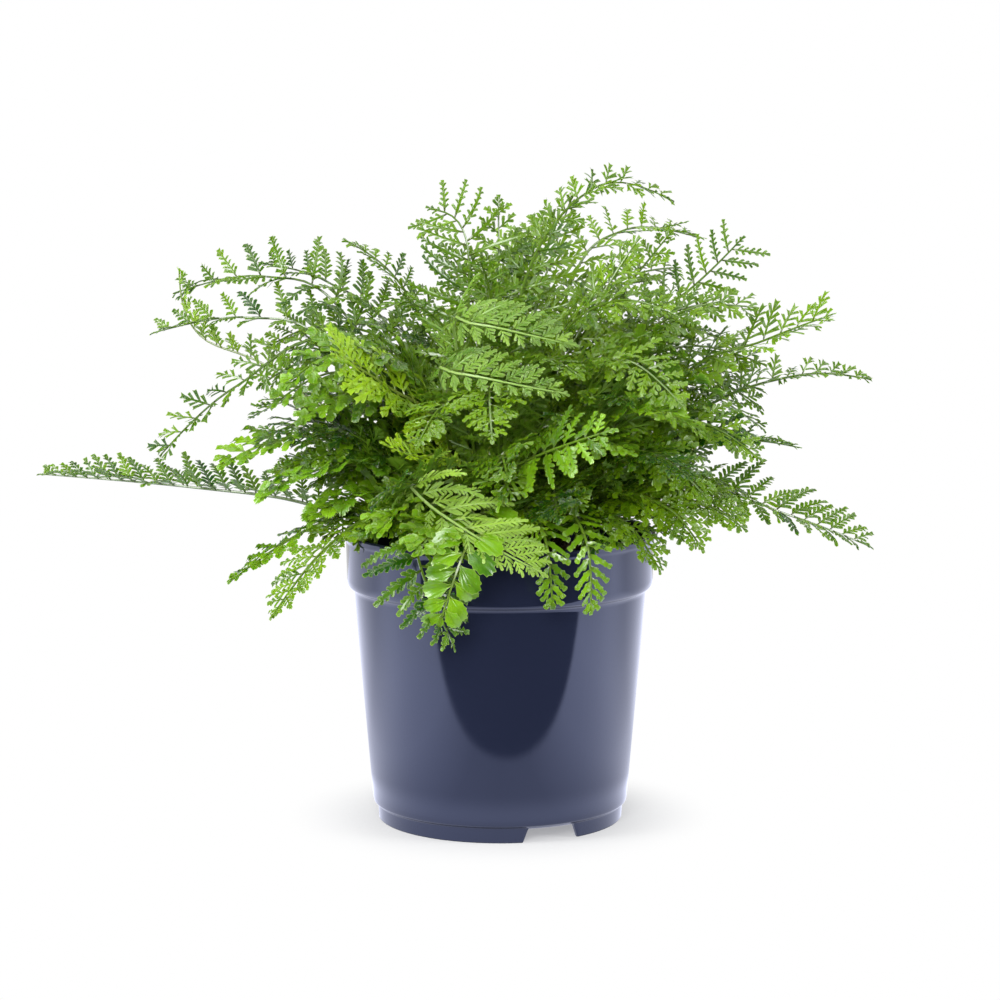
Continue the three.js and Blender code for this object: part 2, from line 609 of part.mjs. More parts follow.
// One frond as a single closed blade: rib and leaflets share their root points,
// and the upper and lower faces are split into the same triangles
function makeFrond(frond) {
  const upper = [];
  const lower = [];
  const triangles = [];
  const addPoint = (at, normal, thickness) => {
    upper.push(at.clone().addScaledVector(normal, thickness / 2));
    lower.push(at.clone().addScaledVector(normal, -thickness / 2));
    return upper.length - 1;
  };
  const edge = { 1: [], '-1': [] };
  for (const station of frond.stations) {
    for (const side of [1, -1]) {
      const at = station.at.clone().addScaledVector(station.left, side * station.width / 2);
      edge[side].push(addPoint(at, station.face, station.thickness));
    }
  }
  const count = frond.stations.length;
  for (let i = 0; i + 1 < count; i += 1) {
    triangles.push([edge[-1][i], edge[-1][i + 1], edge[1][i + 1]]);
    triangles.push([edge[-1][i], edge[1][i + 1], edge[1][i]]);
  }
  const rim = { 1: [], '-1': [] };
  for (const side of [1, -1]) {
    for (let i = 0; i < count; i += 1) {
      rim[side].push(edge[side][i]);
      const leaflet = frond.leaflets.get(`${i - frond.firstLeaflet},${side}`);
      if (leaflet) {
        const ids = leaflet.points.map((point) => addPoint(point, leaflet.normal, BLADE_THICKNESS));
        rim[side].push(...ids);
        for (const corners of leafletTriangles([edge[side][i], ...ids, edge[side][i + 1]])) {
          triangles.push(side > 0 ? [...corners].reverse() : corners);
        }
      }
    }
  }
  const last = frond.stations[count - 1];
  const tipLength = frond.length - last.distance;
  const tip = TIP_LEAFLET.map(([alongShare, acrossShare]) => addPoint(
    last.at.clone().addScaledVector(last.along, tipLength * alongShare)
      .addScaledVector(last.left, tipLength * TIP_PLUMPNESS * acrossShare),
    last.face, BLADE_THICKNESS));
  triangles.push([edge[-1][count - 1], tip[2], tip[0]]);
  triangles.push([edge[-1][count - 1], tip[0], edge[1][count - 1]]);
  triangles.push([tip[2], tip[1], tip[0]]);
  const outline = [...rim[-1], tip[2], tip[1], tip[0], ...rim[1].reverse()];
  const offset = upper.length;
  const faces = [];
  for (const [a, b, c] of triangles) {
    faces.push(a, b, c, a + offset, c + offset, b + offset);
  }
  outline.forEach((id, i) => {
    const next = outline[(i + 1) % outline.length];
    faces.push(id, id + offset, next + offset, id, next + offset, next);
  });
  const geometry = new THREE.BufferGeometry();
  geometry.setFromPoints([...upper, ...lower]);
  geometry.setIndex(faces);
  geometry.computeVertexNormals();
  return geometry;
}

// Assembly

const fronds = readFronds();
for (const frond of fronds) {
  measureSpine(frond);
  frond.stations = ribStations(frond);
}
placeLeaflets(fronds);

const fern = new THREE.Group();
const plant = new THREE.Group();
plant.position.set(POT_AXIS_X, POT_AXIS_Y, 0);
fern.add(plant);

function addMesh(name, geometry, material) {
  const mesh = new THREE.Mesh(geometry, material);
  mesh.name = name;
  plant.add(mesh);
}

addMesh('pot', makePot(), POT_PLASTIC);
addMesh('soil', makeSoil(), PEAT);
addMesh('crown', makeCrown(fronds), CROWN_SCALE);
for (const frond of fronds) {
  const color = LEAF_COLOURS[frond.kind];
  const leaf = new THREE.MeshStandardMaterial({ color, roughness: 0.45, metalness: 0 });
  addMesh(frond.name, makeFrond(frond), leaf);
}

export default fern;
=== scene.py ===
# Potted fern: twice cut fronds on a scaly crown, in peat, in a glossy slate blue
# nursery pot. Metres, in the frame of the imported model; the parts' own sizes are
# in millimetres from the pot's axis, as in the part's source.

import math
from collections import namedtuple

import bpy
import numpy as np
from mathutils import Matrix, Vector, noise


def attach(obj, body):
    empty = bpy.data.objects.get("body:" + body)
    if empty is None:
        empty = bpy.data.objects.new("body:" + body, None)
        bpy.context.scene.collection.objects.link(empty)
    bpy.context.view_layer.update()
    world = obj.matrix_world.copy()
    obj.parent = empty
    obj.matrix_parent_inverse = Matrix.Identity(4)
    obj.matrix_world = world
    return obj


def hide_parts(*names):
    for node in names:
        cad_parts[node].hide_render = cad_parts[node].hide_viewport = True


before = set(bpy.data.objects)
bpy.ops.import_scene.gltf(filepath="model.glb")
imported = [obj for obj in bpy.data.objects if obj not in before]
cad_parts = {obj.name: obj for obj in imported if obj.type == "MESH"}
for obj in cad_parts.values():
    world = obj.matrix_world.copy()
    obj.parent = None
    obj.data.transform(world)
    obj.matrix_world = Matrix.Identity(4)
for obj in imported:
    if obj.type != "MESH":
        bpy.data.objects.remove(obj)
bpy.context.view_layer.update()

# Camera: it stands 1.34 m in front of the pot's axis, a third of a metre above
# the floor, and looks down at the pot a little, as in the photograph.
POT_AXIS = np.array([0.018, -0.021, 0.0])
CAMERA_DISTANCE = 1.335
CAMERA_HEIGHT = 0.326
CAMERA_PITCH = 7.75
CAMERA_LENS = 107.9


def add_object(name, data):
    thing = bpy.data.objects.new(name, data)
    bpy.context.scene.collection.objects.link(thing)
    return thing


camera = add_object("camera", bpy.data.cameras.new("camera"))
camera.data.lens = CAMERA_LENS
camera.data.clip_start = 0.05
camera.location = (POT_AXIS[0], POT_AXIS[1] - CAMERA_DISTANCE, CAMERA_HEIGHT)
camera.rotation_euler = (math.radians(90 - CAMERA_PITCH), 0, 0)
bpy.context.scene.camera = camera

# Pot: one injection moulding of glossy slate blue plastic, 14 cm across its lip,
# with a wider band below the lip, a ledge above the foot ring, three gaps in
# that ring and drain holes in the raised floor.
POT_SECTION = [  # radius, height, rounding of the corner
    (0, 8.2, 0),
    (53.6, 8.2, 0.5),
    (53.6, 0, 0.4),
    (55.2, 0, 0.5),
    (55.6, 6.7, 0.5),
    (57.3, 7.9, 0.7),
    (57.7, 10, 0.9),
    (65.7, 104.6, 1.6),
    (68.3, 106.6, 1.0),
    (68.9, 109, 1.4),
    (69.4, 126.8, 0.8),
    (70, 128.2, 0.8),
    (70, 130.4, 0.7),
    (69.4, 131, 0.5),
    (68.1, 130.4, 0.8),
    (67.6, 108.4, 1.2),
    (64.4, 104, 1.2),
    (56.4, 11.1, 1.2),
    (55.8, 9.6, 0.5),
    (0, 9.6, 0),
]
POT_COLUMNS = 180
FOOT_HEIGHT = 6.7
GAP_AZIMUTHS = [294.5, 54.5, 174.5]
GAP_EDGE = [(11.2, 6.3), (11.5, 6.1), (11.8, 5.6), (13.7, 0.7), (14.0, 0.2), (14.2, 0)]
GAP_CLEAR = (11, 14.4)  # degrees from a gap's middle that hold its edge's columns alone
DRAIN_SECTION = [(0, 5), (4.5, 5), (4.5, 12), (0, 12)]
DRAIN_RING_RADIUS = 38
DRAIN_COUNT = 5
FULL_TURN = 2 * math.pi


def rounded(section, steps=4):
    """The section with each corner that has a rounding drawn as a short curve."""
    curve = []
    for i, (radius, height, rounding) in enumerate(section):
        corner = np.array([radius, height], float)
        if rounding == 0:
            curve.append(corner)
            continue
        before = np.array(section[i - 1][:2], float) - corner
        after = np.array(section[i + 1][:2], float) - corner
        reach = min(rounding, 0.45 * np.hypot(*before), 0.45 * np.hypot(*after))
        start = corner + before / np.hypot(*before) * reach
        end = corner + after / np.hypot(*after) * reach
        for s in np.linspace(0, 1, steps + 1):
            curve.append((1 - s) ** 2 * start + 2 * s * (1 - s) * corner + s**2 * end)
    return np.array(curve)


def turned(section, turns):
    """Vertices and faces of a turned body; its section starts and ends on the axis."""
    section = np.array(section, float)
    rim = section[1:-1]
    count, columns = len(rim), len(turns)
    wall = np.empty((columns, count, 3))
    wall[:, :, 0] = rim[:, 0] * np.cos(turns)[:, None]
    wall[:, :, 1] = rim[:, 0] * np.sin(turns)[:, None]
    wall[:, :, 2] = rim[:, 1]
    ends = [[0, 0, section[0][1]], [0, 0, section[-1][1]]]
    faces = []
    for c in range(columns):
        here, there = c * count, (c + 1) % columns * count
        faces.append((columns * count, there, here))
        faces.append((columns * count + 1, here + count - 1, there + count - 1))
        for p in range(count - 1):
            faces.append((here + p, there + p, there + p + 1, here + p + 1))
    return np.vstack([wall.reshape(-1, 3), ends]), faces


def shade(mesh, crease=35):
    """Smooth shading, but for edges that turn by more than the crease in degrees."""
    mesh.shade_smooth()
    mesh.set_sharp_from_angle(angle=math.radians(crease))


def add_piece(name, vertices, faces, finish, crease=35):
    """One object from points in millimetres round the pot's axis."""
    mesh = bpy.data.meshes.new(name)
    placed = np.asarray(vertices) * 0.001 + POT_AXIS
    mesh.from_pydata(placed.tolist(), [], faces)
    shade(mesh, crease)
    mesh.materials.append(finish)
    piece = add_object(name, mesh)
    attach(piece, "root")
    return piece


def spot(turn, radius=1.0, height=0.0):
    """The point at a turn round the axis, or without a radius the direction to it."""
    return np.array([radius * math.cos(turn), radius * math.sin(turn), height])


def apart(turn, other):
    """Degrees between two directions round the axis."""
    return abs((turn - other + 180) % 360 - 180)


def gap_height(turn):
    """How high the foot ring is cut away at an azimuth in degrees."""
    offset = min(apart(turn, middle) for middle in GAP_AZIMUTHS)
    return float(np.interp(offset, *zip(*GAP_EDGE)))


class Board:
    """The nodes and links of one material, group or world."""

    def __init__(self, tree):
        self.nodes, self.links = tree.nodes, tree.links

    def put(self, socket, value):
        """A value on a socket, or a link to it from another node's socket."""
        if isinstance(value, bpy.types.NodeSocket):
            self.links.new(value, socket)
        else:
            socket.default_value = value

    def fill(self, node, **values):
        for label, value in values.items():
            self.put(node.inputs[label.replace("_", " ")], value)

    def add(self, kind, **values):
        node = self.nodes.new("ShaderNode" + kind)
        self.fill(node, **values)
        return node

    def place(self, group, **values):
        """The group, with the material's own values; gives its outputs."""
        node = self.add("Group")
        node.node_tree = group
        self.fill(node, **values)
        return node.outputs

    def math(self, operation, *values, clamp=False):
        node = self.add("Math")
        node.operation = operation
        node.use_clamp = clamp
        for socket, value in zip(node.inputs, values):
            self.put(socket, value)
        return node.outputs[0]

    def times(self, value, other):
        return self.math("MULTIPLY", value, other)

    def ramp(self, value, low, high, start=0.0):
        """The start value below low and 1 above high, smoothly."""
        node = self.add("MapRange", Value=value, From_Min=low, From_Max=high, To_Min=start)
        node.interpolation_type = "SMOOTHSTEP"
        return node.outputs["Result"]

    def mix(self, share, first, second):
        """A colour between two others."""
        node = self.add("Mix")
        node.data_type = "RGBA"
        self.fill(node, Factor=share, A=first, B=second)
        return node.outputs["Result"]

    def blend(self, share, first, second):
        """A shader between two others."""
        node = self.add("MixShader", Fac=share)
        self.put(node.inputs[1], first)
        self.put(node.inputs[2], second)
        return node.outputs["Shader"]

    def bump(self, height, strength, distance):
        node = self.add("Bump", Height=height, Strength=strength, Distance=distance)
        return node.outputs["Normal"]

    def distance(self, place, centre):
        node = self.add("VectorMath")
        node.operation = "DISTANCE"
        self.put(node.inputs[0], place)
        self.put(node.inputs[1], tuple(centre))
        return node.outputs["Value"]


def new_finish(name, base, roughness, **values):
    """A material, its board and its shader."""
    finish = bpy.data.materials.new(name)
    finish.use_nodes = True
    board = Board(finish.node_tree)
    shader = board.nodes["Principled BSDF"]
    board.fill(shader, Base_Color=(*base, 1), Roughness=roughness, **values)
    return finish, board, shader


def new_group(name, inputs, outputs):
    """A node group from its inputs' values and its outputs' kinds."""
    group = bpy.data.node_groups.new(name, "ShaderNodeTree")
    for label, value in inputs.items():
        kind = "NodeSocketColor" if isinstance(value, tuple) else "NodeSocketFloat"
        socket = group.interface.new_socket(label, in_out="INPUT", socket_type=kind)
        socket.default_value = value
    for label, kind in outputs.items():
        group.interface.new_socket(label, in_out="OUTPUT", socket_type=kind)
    given = group.nodes.new("NodeGroupInput").outputs
    return group, Board(group), given, group.nodes.new("NodeGroupOutput")


# Mottle: a cloudy unevenness with a finer grain in it, as a mask between two
# values and as a height
mottle, board, given, result = new_group(
    "mottle",
    {"Scale": 60.0, "Low": 0.0, "High": 1.0},
    {"Mask": "NodeSocketFloat", "Height": "NodeSocketFloat"},
)
where = board.add("TexCoord").outputs["Object"]
cloud = board.add("TexNoise", Vector=where, Scale=given["Scale"], Detail=4.0).outputs["Fac"]
grain_scale = board.times(given["Scale"], 9.0)
grain = board.add("TexNoise", Vector=where, Scale=grain_scale, Detail=2.0).outputs["Fac"]
both = board.math("ADD", board.times(cloud, 0.7), board.times(grain, 0.3))
spread = board.add("MapRange", Value=both, From_Min=0.35, From_Max=0.65)
board.fill(spread, To_Min=given["Low"], To_Max=given["High"])
board.fill(result, Mask=spread.outputs["Result"], Height=both)

pot_finish, board, shader = new_finish("pot_plastic", (0.0100, 0.0128, 0.028), 0.08)
board.fill(shader, IOR=1.5, Specular_Tint=(0.74, 0.80, 1.0, 1))
gloss = board.place(mottle, Scale=22.0, Low=0.055, High=0.10)["Mask"]
ripple = board.place(mottle, Scale=14.0)["Height"]
board.fill(shader, Roughness=gloss, Normal=board.bump(ripple, 0.05, 0.0006))

turns = set(np.linspace(0, 360, POT_COLUMNS, endpoint=False))
for middle in GAP_AZIMUTHS:
    turns = {t for t in turns if not GAP_CLEAR[0] < apart(t, middle) < GAP_CLEAR[1]}
    turns |= {(middle + side * edge) % 360 for edge, _ in GAP_EDGE for side in (1, -1)}
turns = np.array(sorted(turns))
pot_vertices, pot_faces = turned(rounded(POT_SECTION), np.radians(turns))
azimuths = np.degrees(np.arctan2(pot_vertices[:, 1], pot_vertices[:, 0])) % 360
in_foot = pot_vertices[:, 2] < FOOT_HEIGHT
lifts = np.array([gap_height(t) for t in azimuths[in_foot]])
pot_vertices[in_foot, 2] = lifts + pot_vertices[in_foot, 2] * (1 - lifts / FOOT_HEIGHT)
pot = add_piece("nursery_pot", pot_vertices, pot_faces, pot_finish)

hole_points, hole_faces = turned(DRAIN_SECTION, np.radians(np.arange(0, 360, 15)))
drill_points, drill_faces = [], []
for i in range(DRAIN_COUNT):
    drill_points.append(hole_points + spot(FULL_TURN * i / DRAIN_COUNT, DRAIN_RING_RADIUS))
    drill_faces += [tuple(v + i * len(hole_points) for v in face) for face in hole_faces]
drill = add_piece("drill", np.vstack(drill_points), drill_faces, pot_finish)
cut = pot.modifiers.new("drains", "BOOLEAN")
cut.operation = "DIFFERENCE"
cut.solver = "EXACT"
cut.object = drill
whole = pot.evaluated_get(bpy.context.evaluated_depsgraph_get())
pot.data = bpy.data.meshes.new_from_object(whole)
pot.modifiers.clear()
bpy.data.objects.remove(drill)
shade(pot.data)
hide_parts("pot")

# Peat: dark crumbly peat that fills the pot to 15 mm below its lip and is heaped
# up a little round the crown. It was poured in and pressed down by hand.
PEAT_SECTION = [(0, 10), (54.5, 10), (56, 11.5), (64, 104.6), (67.2, 109), (67.2, 114.8)]
PEAT_SECTION += [(66, 116)]
PEAT_TOP_Z = 116
PEAT_RISE = 0.6
PEAT_EDGE_RADIUS = 65
PEAT_RINGS = 22
PEAT_COLUMNS = 150
PEAT_WAVES = [(1.4, 0.11), (0.9, 0.45), (0.5, 1.3)]  # height, waves a millimetre
CROWN_BED = (42.4, 107.6)  # radius and height of the hollow that the crown fills


def mottled_finish(name, tints, roughness, scale, strength, distance):
    """A rough material with a middle colour, mottled between a dark and a light one."""
    base, dark, light = tints
    finish, board, shader = new_finish(name, base, roughness)
    spots = board.place(mottle, Scale=scale)
    tint = board.mix(spots["Mask"], (*dark, 1), (*light, 1))
    relief = board.bump(spots["Height"], strength, distance)
    board.fill(shader, Base_Color=tint, Normal=relief)
    return finish


def unevenness(point, waves):
    return sum(height * noise.noise(Vector(point * pitch)) for height, pitch in waves)


peat_tints = [(0.012, 0.009, 0.006), (0.006, 0.005, 0.0035), (0.035, 0.024, 0.014)]
peat_finish = mottled_finish("peat", peat_tints, 0.9, 420.0, 0.7, 0.0012)
peat_radii = np.linspace(PEAT_EDGE_RADIUS, CROWN_BED[0], PEAT_RINGS)
peat_section = PEAT_SECTION + [(r, PEAT_TOP_Z + PEAT_RISE) for r in peat_radii]
peat_section += [CROWN_BED, (0, CROWN_BED[1])]
peat_turns = np.linspace(0, FULL_TURN, PEAT_COLUMNS, endpoint=False)
peat_vertices, peat_faces = turned(peat_section, peat_turns)
for point in peat_vertices:
    if point[2] > PEAT_TOP_Z + PEAT_RISE / 2:
        point[2] += unevenness(point, PEAT_WAVES)
peat = add_piece("peat", peat_vertices, peat_faces, peat_finish)
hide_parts("soil")

# Peat crumbs: loose lumps and short bark fibres that lie on the peat where it was
# poured, each a crooked lump with twenty facets.
ANY_TURN = (0, 6.28)  # radians
CRUMB_COUNT = 420
CRUMB_RADII = (44, 65)
CRUMB_SIZES = (0.5, 1.5)
CRUMB_WAIST = [(0.9, 0), (0.3, 0.85), (-0.7, 0.5), (-0.7, -0.5), (0.3, -0.85)]
crumb_ring = np.array([(x, y, 0.4) for x, y in CRUMB_WAIST])
crumb_ends = np.array([(0, 0, 1), (0, 0, -1)])
lower_ring = -np.roll(crumb_ring, 2, axis=0)
CRUMB_CORNERS = np.vstack([crumb_ends[:1], crumb_ring, lower_ring, crumb_ends[1:]])
CRUMB_FACES = []
for i in range(5):
    j = (i + 1) % 5
    CRUMB_FACES += [(0, 1 + i, 1 + j), (1 + i, 6 + i, 1 + j)]
    CRUMB_FACES += [(6 + i, 6 + j, 1 + j), (11, 6 + j, 6 + i)]

draw = np.random.default_rng(4)
crumb_points, crumb_faces = [], []
for i in range(CRUMB_COUNT):
    size = draw.uniform(*CRUMB_SIZES)
    size *= np.array([draw.uniform(0.8, 2.0), 1, draw.uniform(0.5, 0.9)])
    radius = math.sqrt(draw.uniform(CRUMB_RADII[0] ** 2, CRUMB_RADII[1] ** 2))
    turn = draw.uniform(*ANY_TURN)
    spin = draw.uniform(*ANY_TURN)
    crumb = CRUMB_CORNERS * size * draw.uniform(0.75, 1.2, (12, 1))
    x, y = crumb[:, 0].copy(), crumb[:, 1].copy()
    crumb[:, 0] = x * math.cos(spin) - y * math.sin(spin)
    crumb[:, 1] = x * math.sin(spin) + y * math.cos(spin)
    crumb_points.append(crumb + spot(turn, radius, PEAT_TOP_Z + 1.0))
    crumb_faces += [tuple(v + i * 12 for v in face) for face in CRUMB_FACES]
crumbs = add_piece("peat_crumbs", np.vstack(crumb_points), crumb_faces, peat_finish, 60)

# Crown: the low dome of old stalk bases, wood hard and brown, that grew out of the
# peat. It is covered in thin pointed scales and the stubs of fronds cut off.
CROWN_RADIUS = 42
CROWN_FOOT_Z = 108
CROWN_EDGE_Z = 117.5
CROWN_RISE = 10
CROWN_WAVES = [(1.5, 0.4), (0.6, 1.5)]
SCALE_COUNT = 900
STUB_COUNT = 46
STUB_SIDES = 7
STUB_RINGS = [(0, 1.0), (0.5, 0.875), (0.9, 0.775), (1, 0.4125)]  # share of height, of girth
BLADE_FACES = [(0, 3, 4), (3, 2, 4), (2, 1, 4), (1, 0, 4)]
BLADE_FACES += [(3, 0, 5), (2, 3, 5), (1, 2, 5), (0, 1, 5)]
UP = np.array([0, 0, 1.0])


def crown_height(radius):
    return CROWN_EDGE_Z + CROWN_RISE * (1 - (radius / CROWN_RADIUS) ** 2)


def blade(foot, along, across, up, length, width, lift):
    """A small pointed scale as a closed lens: six points and eight faces."""
    middle = foot + along * (0.4 * length) + up * (0.4 * lift)
    half = across * (width / 2)
    thick = up * (0.12 * width + 0.05)
    tip = foot + along * length + up * lift
    return np.array([foot, middle + half, tip, middle - half, middle + thick, middle - thick])


class Tissue:
    """Points, triangles and the two attributes of something that grows."""

    def __init__(self):
        self.points, self.faces, self.places, self.tones = [], [], [], []
        self.count = 0

    def add(self, points, faces, place=(0, 0, 0), tone=(0, 0, 0)):
        """More of it; place and tone are one for all its points, or one for each."""
        points = points.reshape(-1, 3)
        self.points.append(points)
        self.faces.append(np.reshape(faces, (-1, 3)) + self.count)
        for kept, given in [(self.places, place), (self.tones, tone)]:
            kept.append(np.broadcast_to(np.reshape(given, (-1, 3)), points.shape))
        self.count += len(points)

    def arrays(self):
        return [np.vstack(part) for part in (self.points, self.faces, self.places, self.tones)]


def add_tube(tissue, rings, place=(0, 0, 0), tone=(0, 0, 0)):
    """A closed tube through rings of points."""
    levels, sides = rings.shape[:2]
    faces = []
    for i in range(levels - 1):
        for j in range(sides):
            a, b = i * sides + j, i * sides + (j + 1) % sides
            faces += [(a, b, b + sides), (a, b + sides, a + sides)]
    top = (levels - 1) * sides
    for j in range(1, sides - 1):
        faces += [(0, j + 1, j), (top, top + j, top + j + 1)]
    tissue.add(rings, faces, place, tone)


scale_tints = [(0.05, 0.028, 0.014), (0.020, 0.011, 0.006), (0.11, 0.062, 0.028)]
scale_finish = mottled_finish("crown_scale", scale_tints, 0.7, 260.0, 0.5, 0.0006)
dome = [(0, CROWN_FOOT_Z), (CROWN_RADIUS, CROWN_FOOT_Z)]
dome += [(r, crown_height(r)) for r in np.linspace(CROWN_RADIUS, 0, 24)]
dome_points, dome_faces = turned(dome, np.linspace(0, FULL_TURN, 120, endpoint=False))
for point in dome_points:
    if point[2] > CROWN_EDGE_Z:
        point[2] += unevenness(point, CROWN_WAVES)
cover = Tissue()
draw = np.random.default_rng(7)
for i in range(SCALE_COUNT):
    radius = CROWN_RADIUS * math.sqrt(draw.uniform(0, 0.98))
    turn = draw.uniform(*ANY_TURN)
    heading = turn + draw.normal(0, 0.7)
    foot = spot(turn, radius, crown_height(radius) - 0.2)
    sizes = draw.uniform(2.5, 5), draw.uniform(0.7, 1.3), draw.uniform(0.5, 2.6)
    cover.add(blade(foot, spot(heading), spot(heading + math.pi / 2), UP, *sizes), BLADE_FACES)
stub_turns = np.linspace(0, FULL_TURN, STUB_SIDES, endpoint=False)
stub_ring = np.array([spot(turn) for turn in stub_turns])
for i in range(STUB_COUNT):
    radius = CROWN_RADIUS * math.sqrt(draw.uniform(0.02, 0.9))
    turn = draw.uniform(*ANY_TURN)
    lean = spot(turn) * draw.uniform(0.1, 0.6) + UP
    height = draw.uniform(2.5, 7)
    girth = draw.uniform(0.9, 1.5)
    foot = spot(turn, radius, crown_height(radius) - 1)
    rings = [stub_ring * girth * slim + foot + lean * height * share for share, slim in STUB_RINGS]
    add_tube(cover, np.array(rings))
points, faces, _, _ = cover.arrays()
crown_faces = dome_faces + (faces + len(dome_points)).tolist()
crown = add_piece("crown_scales", np.vstack([dome_points, points]), crown_faces, scale_finish)
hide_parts("crown")

# Leaf tissue: thin, leathery and satin, darker in old fronds, with a painted highlight
# along every lobe's edge, a matt underside and fine sunken veins. The stalks are green, brown at
# the foot.
LEAF_COLOURS = ["Deep", "Bright", "Margin", "Under", "Stalk", "Stalk Foot"]
LEAF_FINISHES = {  # gloss, then the colours in the order above
    "fine": (0.13, (0.007, 0.038, 0.001), (0.118, 0.226, 0.002), (0.20, 0.35, 0.010),
        (0.11, 0.22, 0.012), (0.065, 0.120, 0.010), (0.030, 0.020, 0.012)),
    "young": (0.20, (0.060, 0.150, 0.002), (0.240, 0.400, 0.005), (0.34, 0.50, 0.03),
        (0.22, 0.36, 0.02), (0.12, 0.15, 0.03), (0.060, 0.045, 0.020)),
    "medium": (0.12, (0.010, 0.050, 0.001), (0.145, 0.305, 0.004), (0.28, 0.44, 0.03),
        (0.13, 0.26, 0.015), (0.08, 0.14, 0.012), (0.030, 0.022, 0.012)),
    "fans": (0.18, (0.016, 0.072, 0.002), (0.150, 0.310, 0.005), (0.36, 0.52, 0.10),
        (0.14, 0.27, 0.02), (0.08, 0.11, 0.020), (0.030, 0.020, 0.014)),
    "pale": (0.30, (0.040, 0.110, 0.003), (0.185, 0.325, 0.022), (0.42, 0.56, 0.14),
        (0.18, 0.30, 0.03), (0.19, 0.29, 0.07), (0.030, 0.020, 0.012)),
}
ANY_GREEN = (0.1, 0.25, 0.02, 1)
CLOUD_SHARE = 0.5
EDGE_HIGHLIGHT_SHARE = 0.3
UNDERSIDE_SHARE = 0.55
UNDERSIDE_MATT = 0.18
VEIN_PITCH = 24.0
VEIN_DEPTH = 0.22
LEAF_SPECULAR = 0.42
LEAF_GLOW = 0.20  # share of the light that comes through the tissue
leaf_blade, board, given, result = new_group(
    "leaf_blade",
    {**{label: ANY_GREEN for label in LEAF_COLOURS}, "Gloss": 0.4},
    {"Color": "NodeSocketColor", "Roughness": "NodeSocketFloat", "Height": "NodeSocketFloat"},
)


def attribute_parts(board, name):
    """The three parts of an attribute that each point of a frond carries."""
    node = board.add("Attribute")
    node.attribute_name = name
    return board.add("SeparateXYZ", Vector=node.outputs["Vector"]).outputs


along, across, under = attribute_parts(board, "leaf_place")
tone, edge, stalk = attribute_parts(board, "leaf_tone")
where = board.add("TexCoord").outputs["Object"]
cloud = board.add("TexNoise", Vector=where, Scale=170.0, Detail=3.0).outputs["Fac"]
uneven = board.math("MULTIPLY_ADD", cloud, CLOUD_SHARE, -CLOUD_SHARE / 2)
age = board.math("ADD", tone, uneven, clamp=True)
colour = board.mix(age, given["Deep"], given["Bright"])
# Painted highlight: the colour is lightened towards the highlight colour along every lobe's edge.
rim = board.times(board.ramp(edge, 0.75, 1.0), EDGE_HIGHLIGHT_SHARE)
colour = board.mix(rim, colour, given["Margin"])
below = board.ramp(under, 0.5, 0.52)
colour = board.mix(board.times(below, UNDERSIDE_SHARE), colour, given["Under"])
stalk_colour = board.mix(board.ramp(along, 0.1, 0.42), given["Stalk Foot"], given["Stalk"])
colour = board.mix(stalk, colour, stalk_colour)
matt = board.math("ADD", given["Gloss"], board.times(below, UNDERSIDE_MATT))
dull = board.math("ADD", matt, board.times(cloud, 0.16), clamp=True)
main_vein = board.ramp(board.math("ABSOLUTE", across), 0.0, 0.16)
bearing = board.math("DIVIDE", across, board.math("ADD", along, 0.12))
fine_veins = board.math("SINE", board.times(bearing, VEIN_PITCH))
veins = board.math("ADD", main_vein, board.times(fine_veins, VEIN_DEPTH))
veins = board.times(veins, board.math("SUBTRACT", 1.0, stalk))
board.fill(result, Color=colour, Roughness=dull, Height=veins)

leaf_finishes = {}
for kind, (leaf_gloss, *colours) in LEAF_FINISHES.items():
    finish, board, shader = new_finish(f"leaf_{kind}", colours[1], 0.4)
    shades = {label: (*colour, 1) for label, colour in zip(LEAF_COLOURS, colours)}
    tissue = board.place(leaf_blade, Gloss=leaf_gloss, **shades)
    relief = board.bump(tissue["Height"], 0.5, 0.0003)
    board.fill(shader, Base_Color=tissue["Color"], Roughness=tissue["Roughness"], Normal=relief)
    board.fill(shader, Specular_IOR_Level=LEAF_SPECULAR, Subsurface_Weight=LEAF_GLOW)
    board.fill(shader, Subsurface_Radius=(0.5, 1.0, 0.15), Subsurface_Scale=0.0012)
    leaf_finishes[kind] = finish

# Leaf lobes: each leaflet of a frond is cut again into lobes along its own rib.
# A lobe is a thin closed lens, blunt or forked at its tip, and some leaflets are
# scalloped fans or coins. Points run along it from 0 to 1 and across from -1 to 1.
LOBES = {  # the outline from one side of the foot; the other and the middle are added
    "narrow": [(0, -0.50), (0.55, -0.86), (0.90, -0.84), (1.0, 0), (0.90, 0.84), (0.55, 0.86)],
    "forked": [(0, -0.40), (0.50, -0.66), (0.96, -1.50), (0.66, -0.05), (1.0, 1.25), (0.50, 0.66)],
    "round": [(0, -0.70), (0.45, -0.96), (0.85, -0.85), (1.0, 0), (0.88, 0.82), (0.45, 0.96)],
}
LOBES = {kind: np.array(rim + [(0, -rim[0][1]), (0.52, 0)]) for kind, rim in LOBES.items()}
LOBE_RIM = 7
ARC = 19  # points of the scalloped edge
SCALLOPED_RIM = ARC + 4
HUB = SCALLOPED_RIM + ARC // 2


def scalloped(half_foot, neck, half_neck, centre, arc, inner_arc, inner_radius, hub):
    """A blade with a scalloped edge: its outline, an inner row and a hub."""
    rim = [(0, half_foot), (0, -half_foot), (neck, -half_neck)]
    rim += [(centre + r * math.cos(t), r * math.sin(t)) for r, t in arc]
    inner = [(centre + inner_radius * math.cos(t), inner_radius * math.sin(t)) for t in inner_arc]
    return np.array(rim + [(neck, half_neck)] + inner + [(hub, 0)])


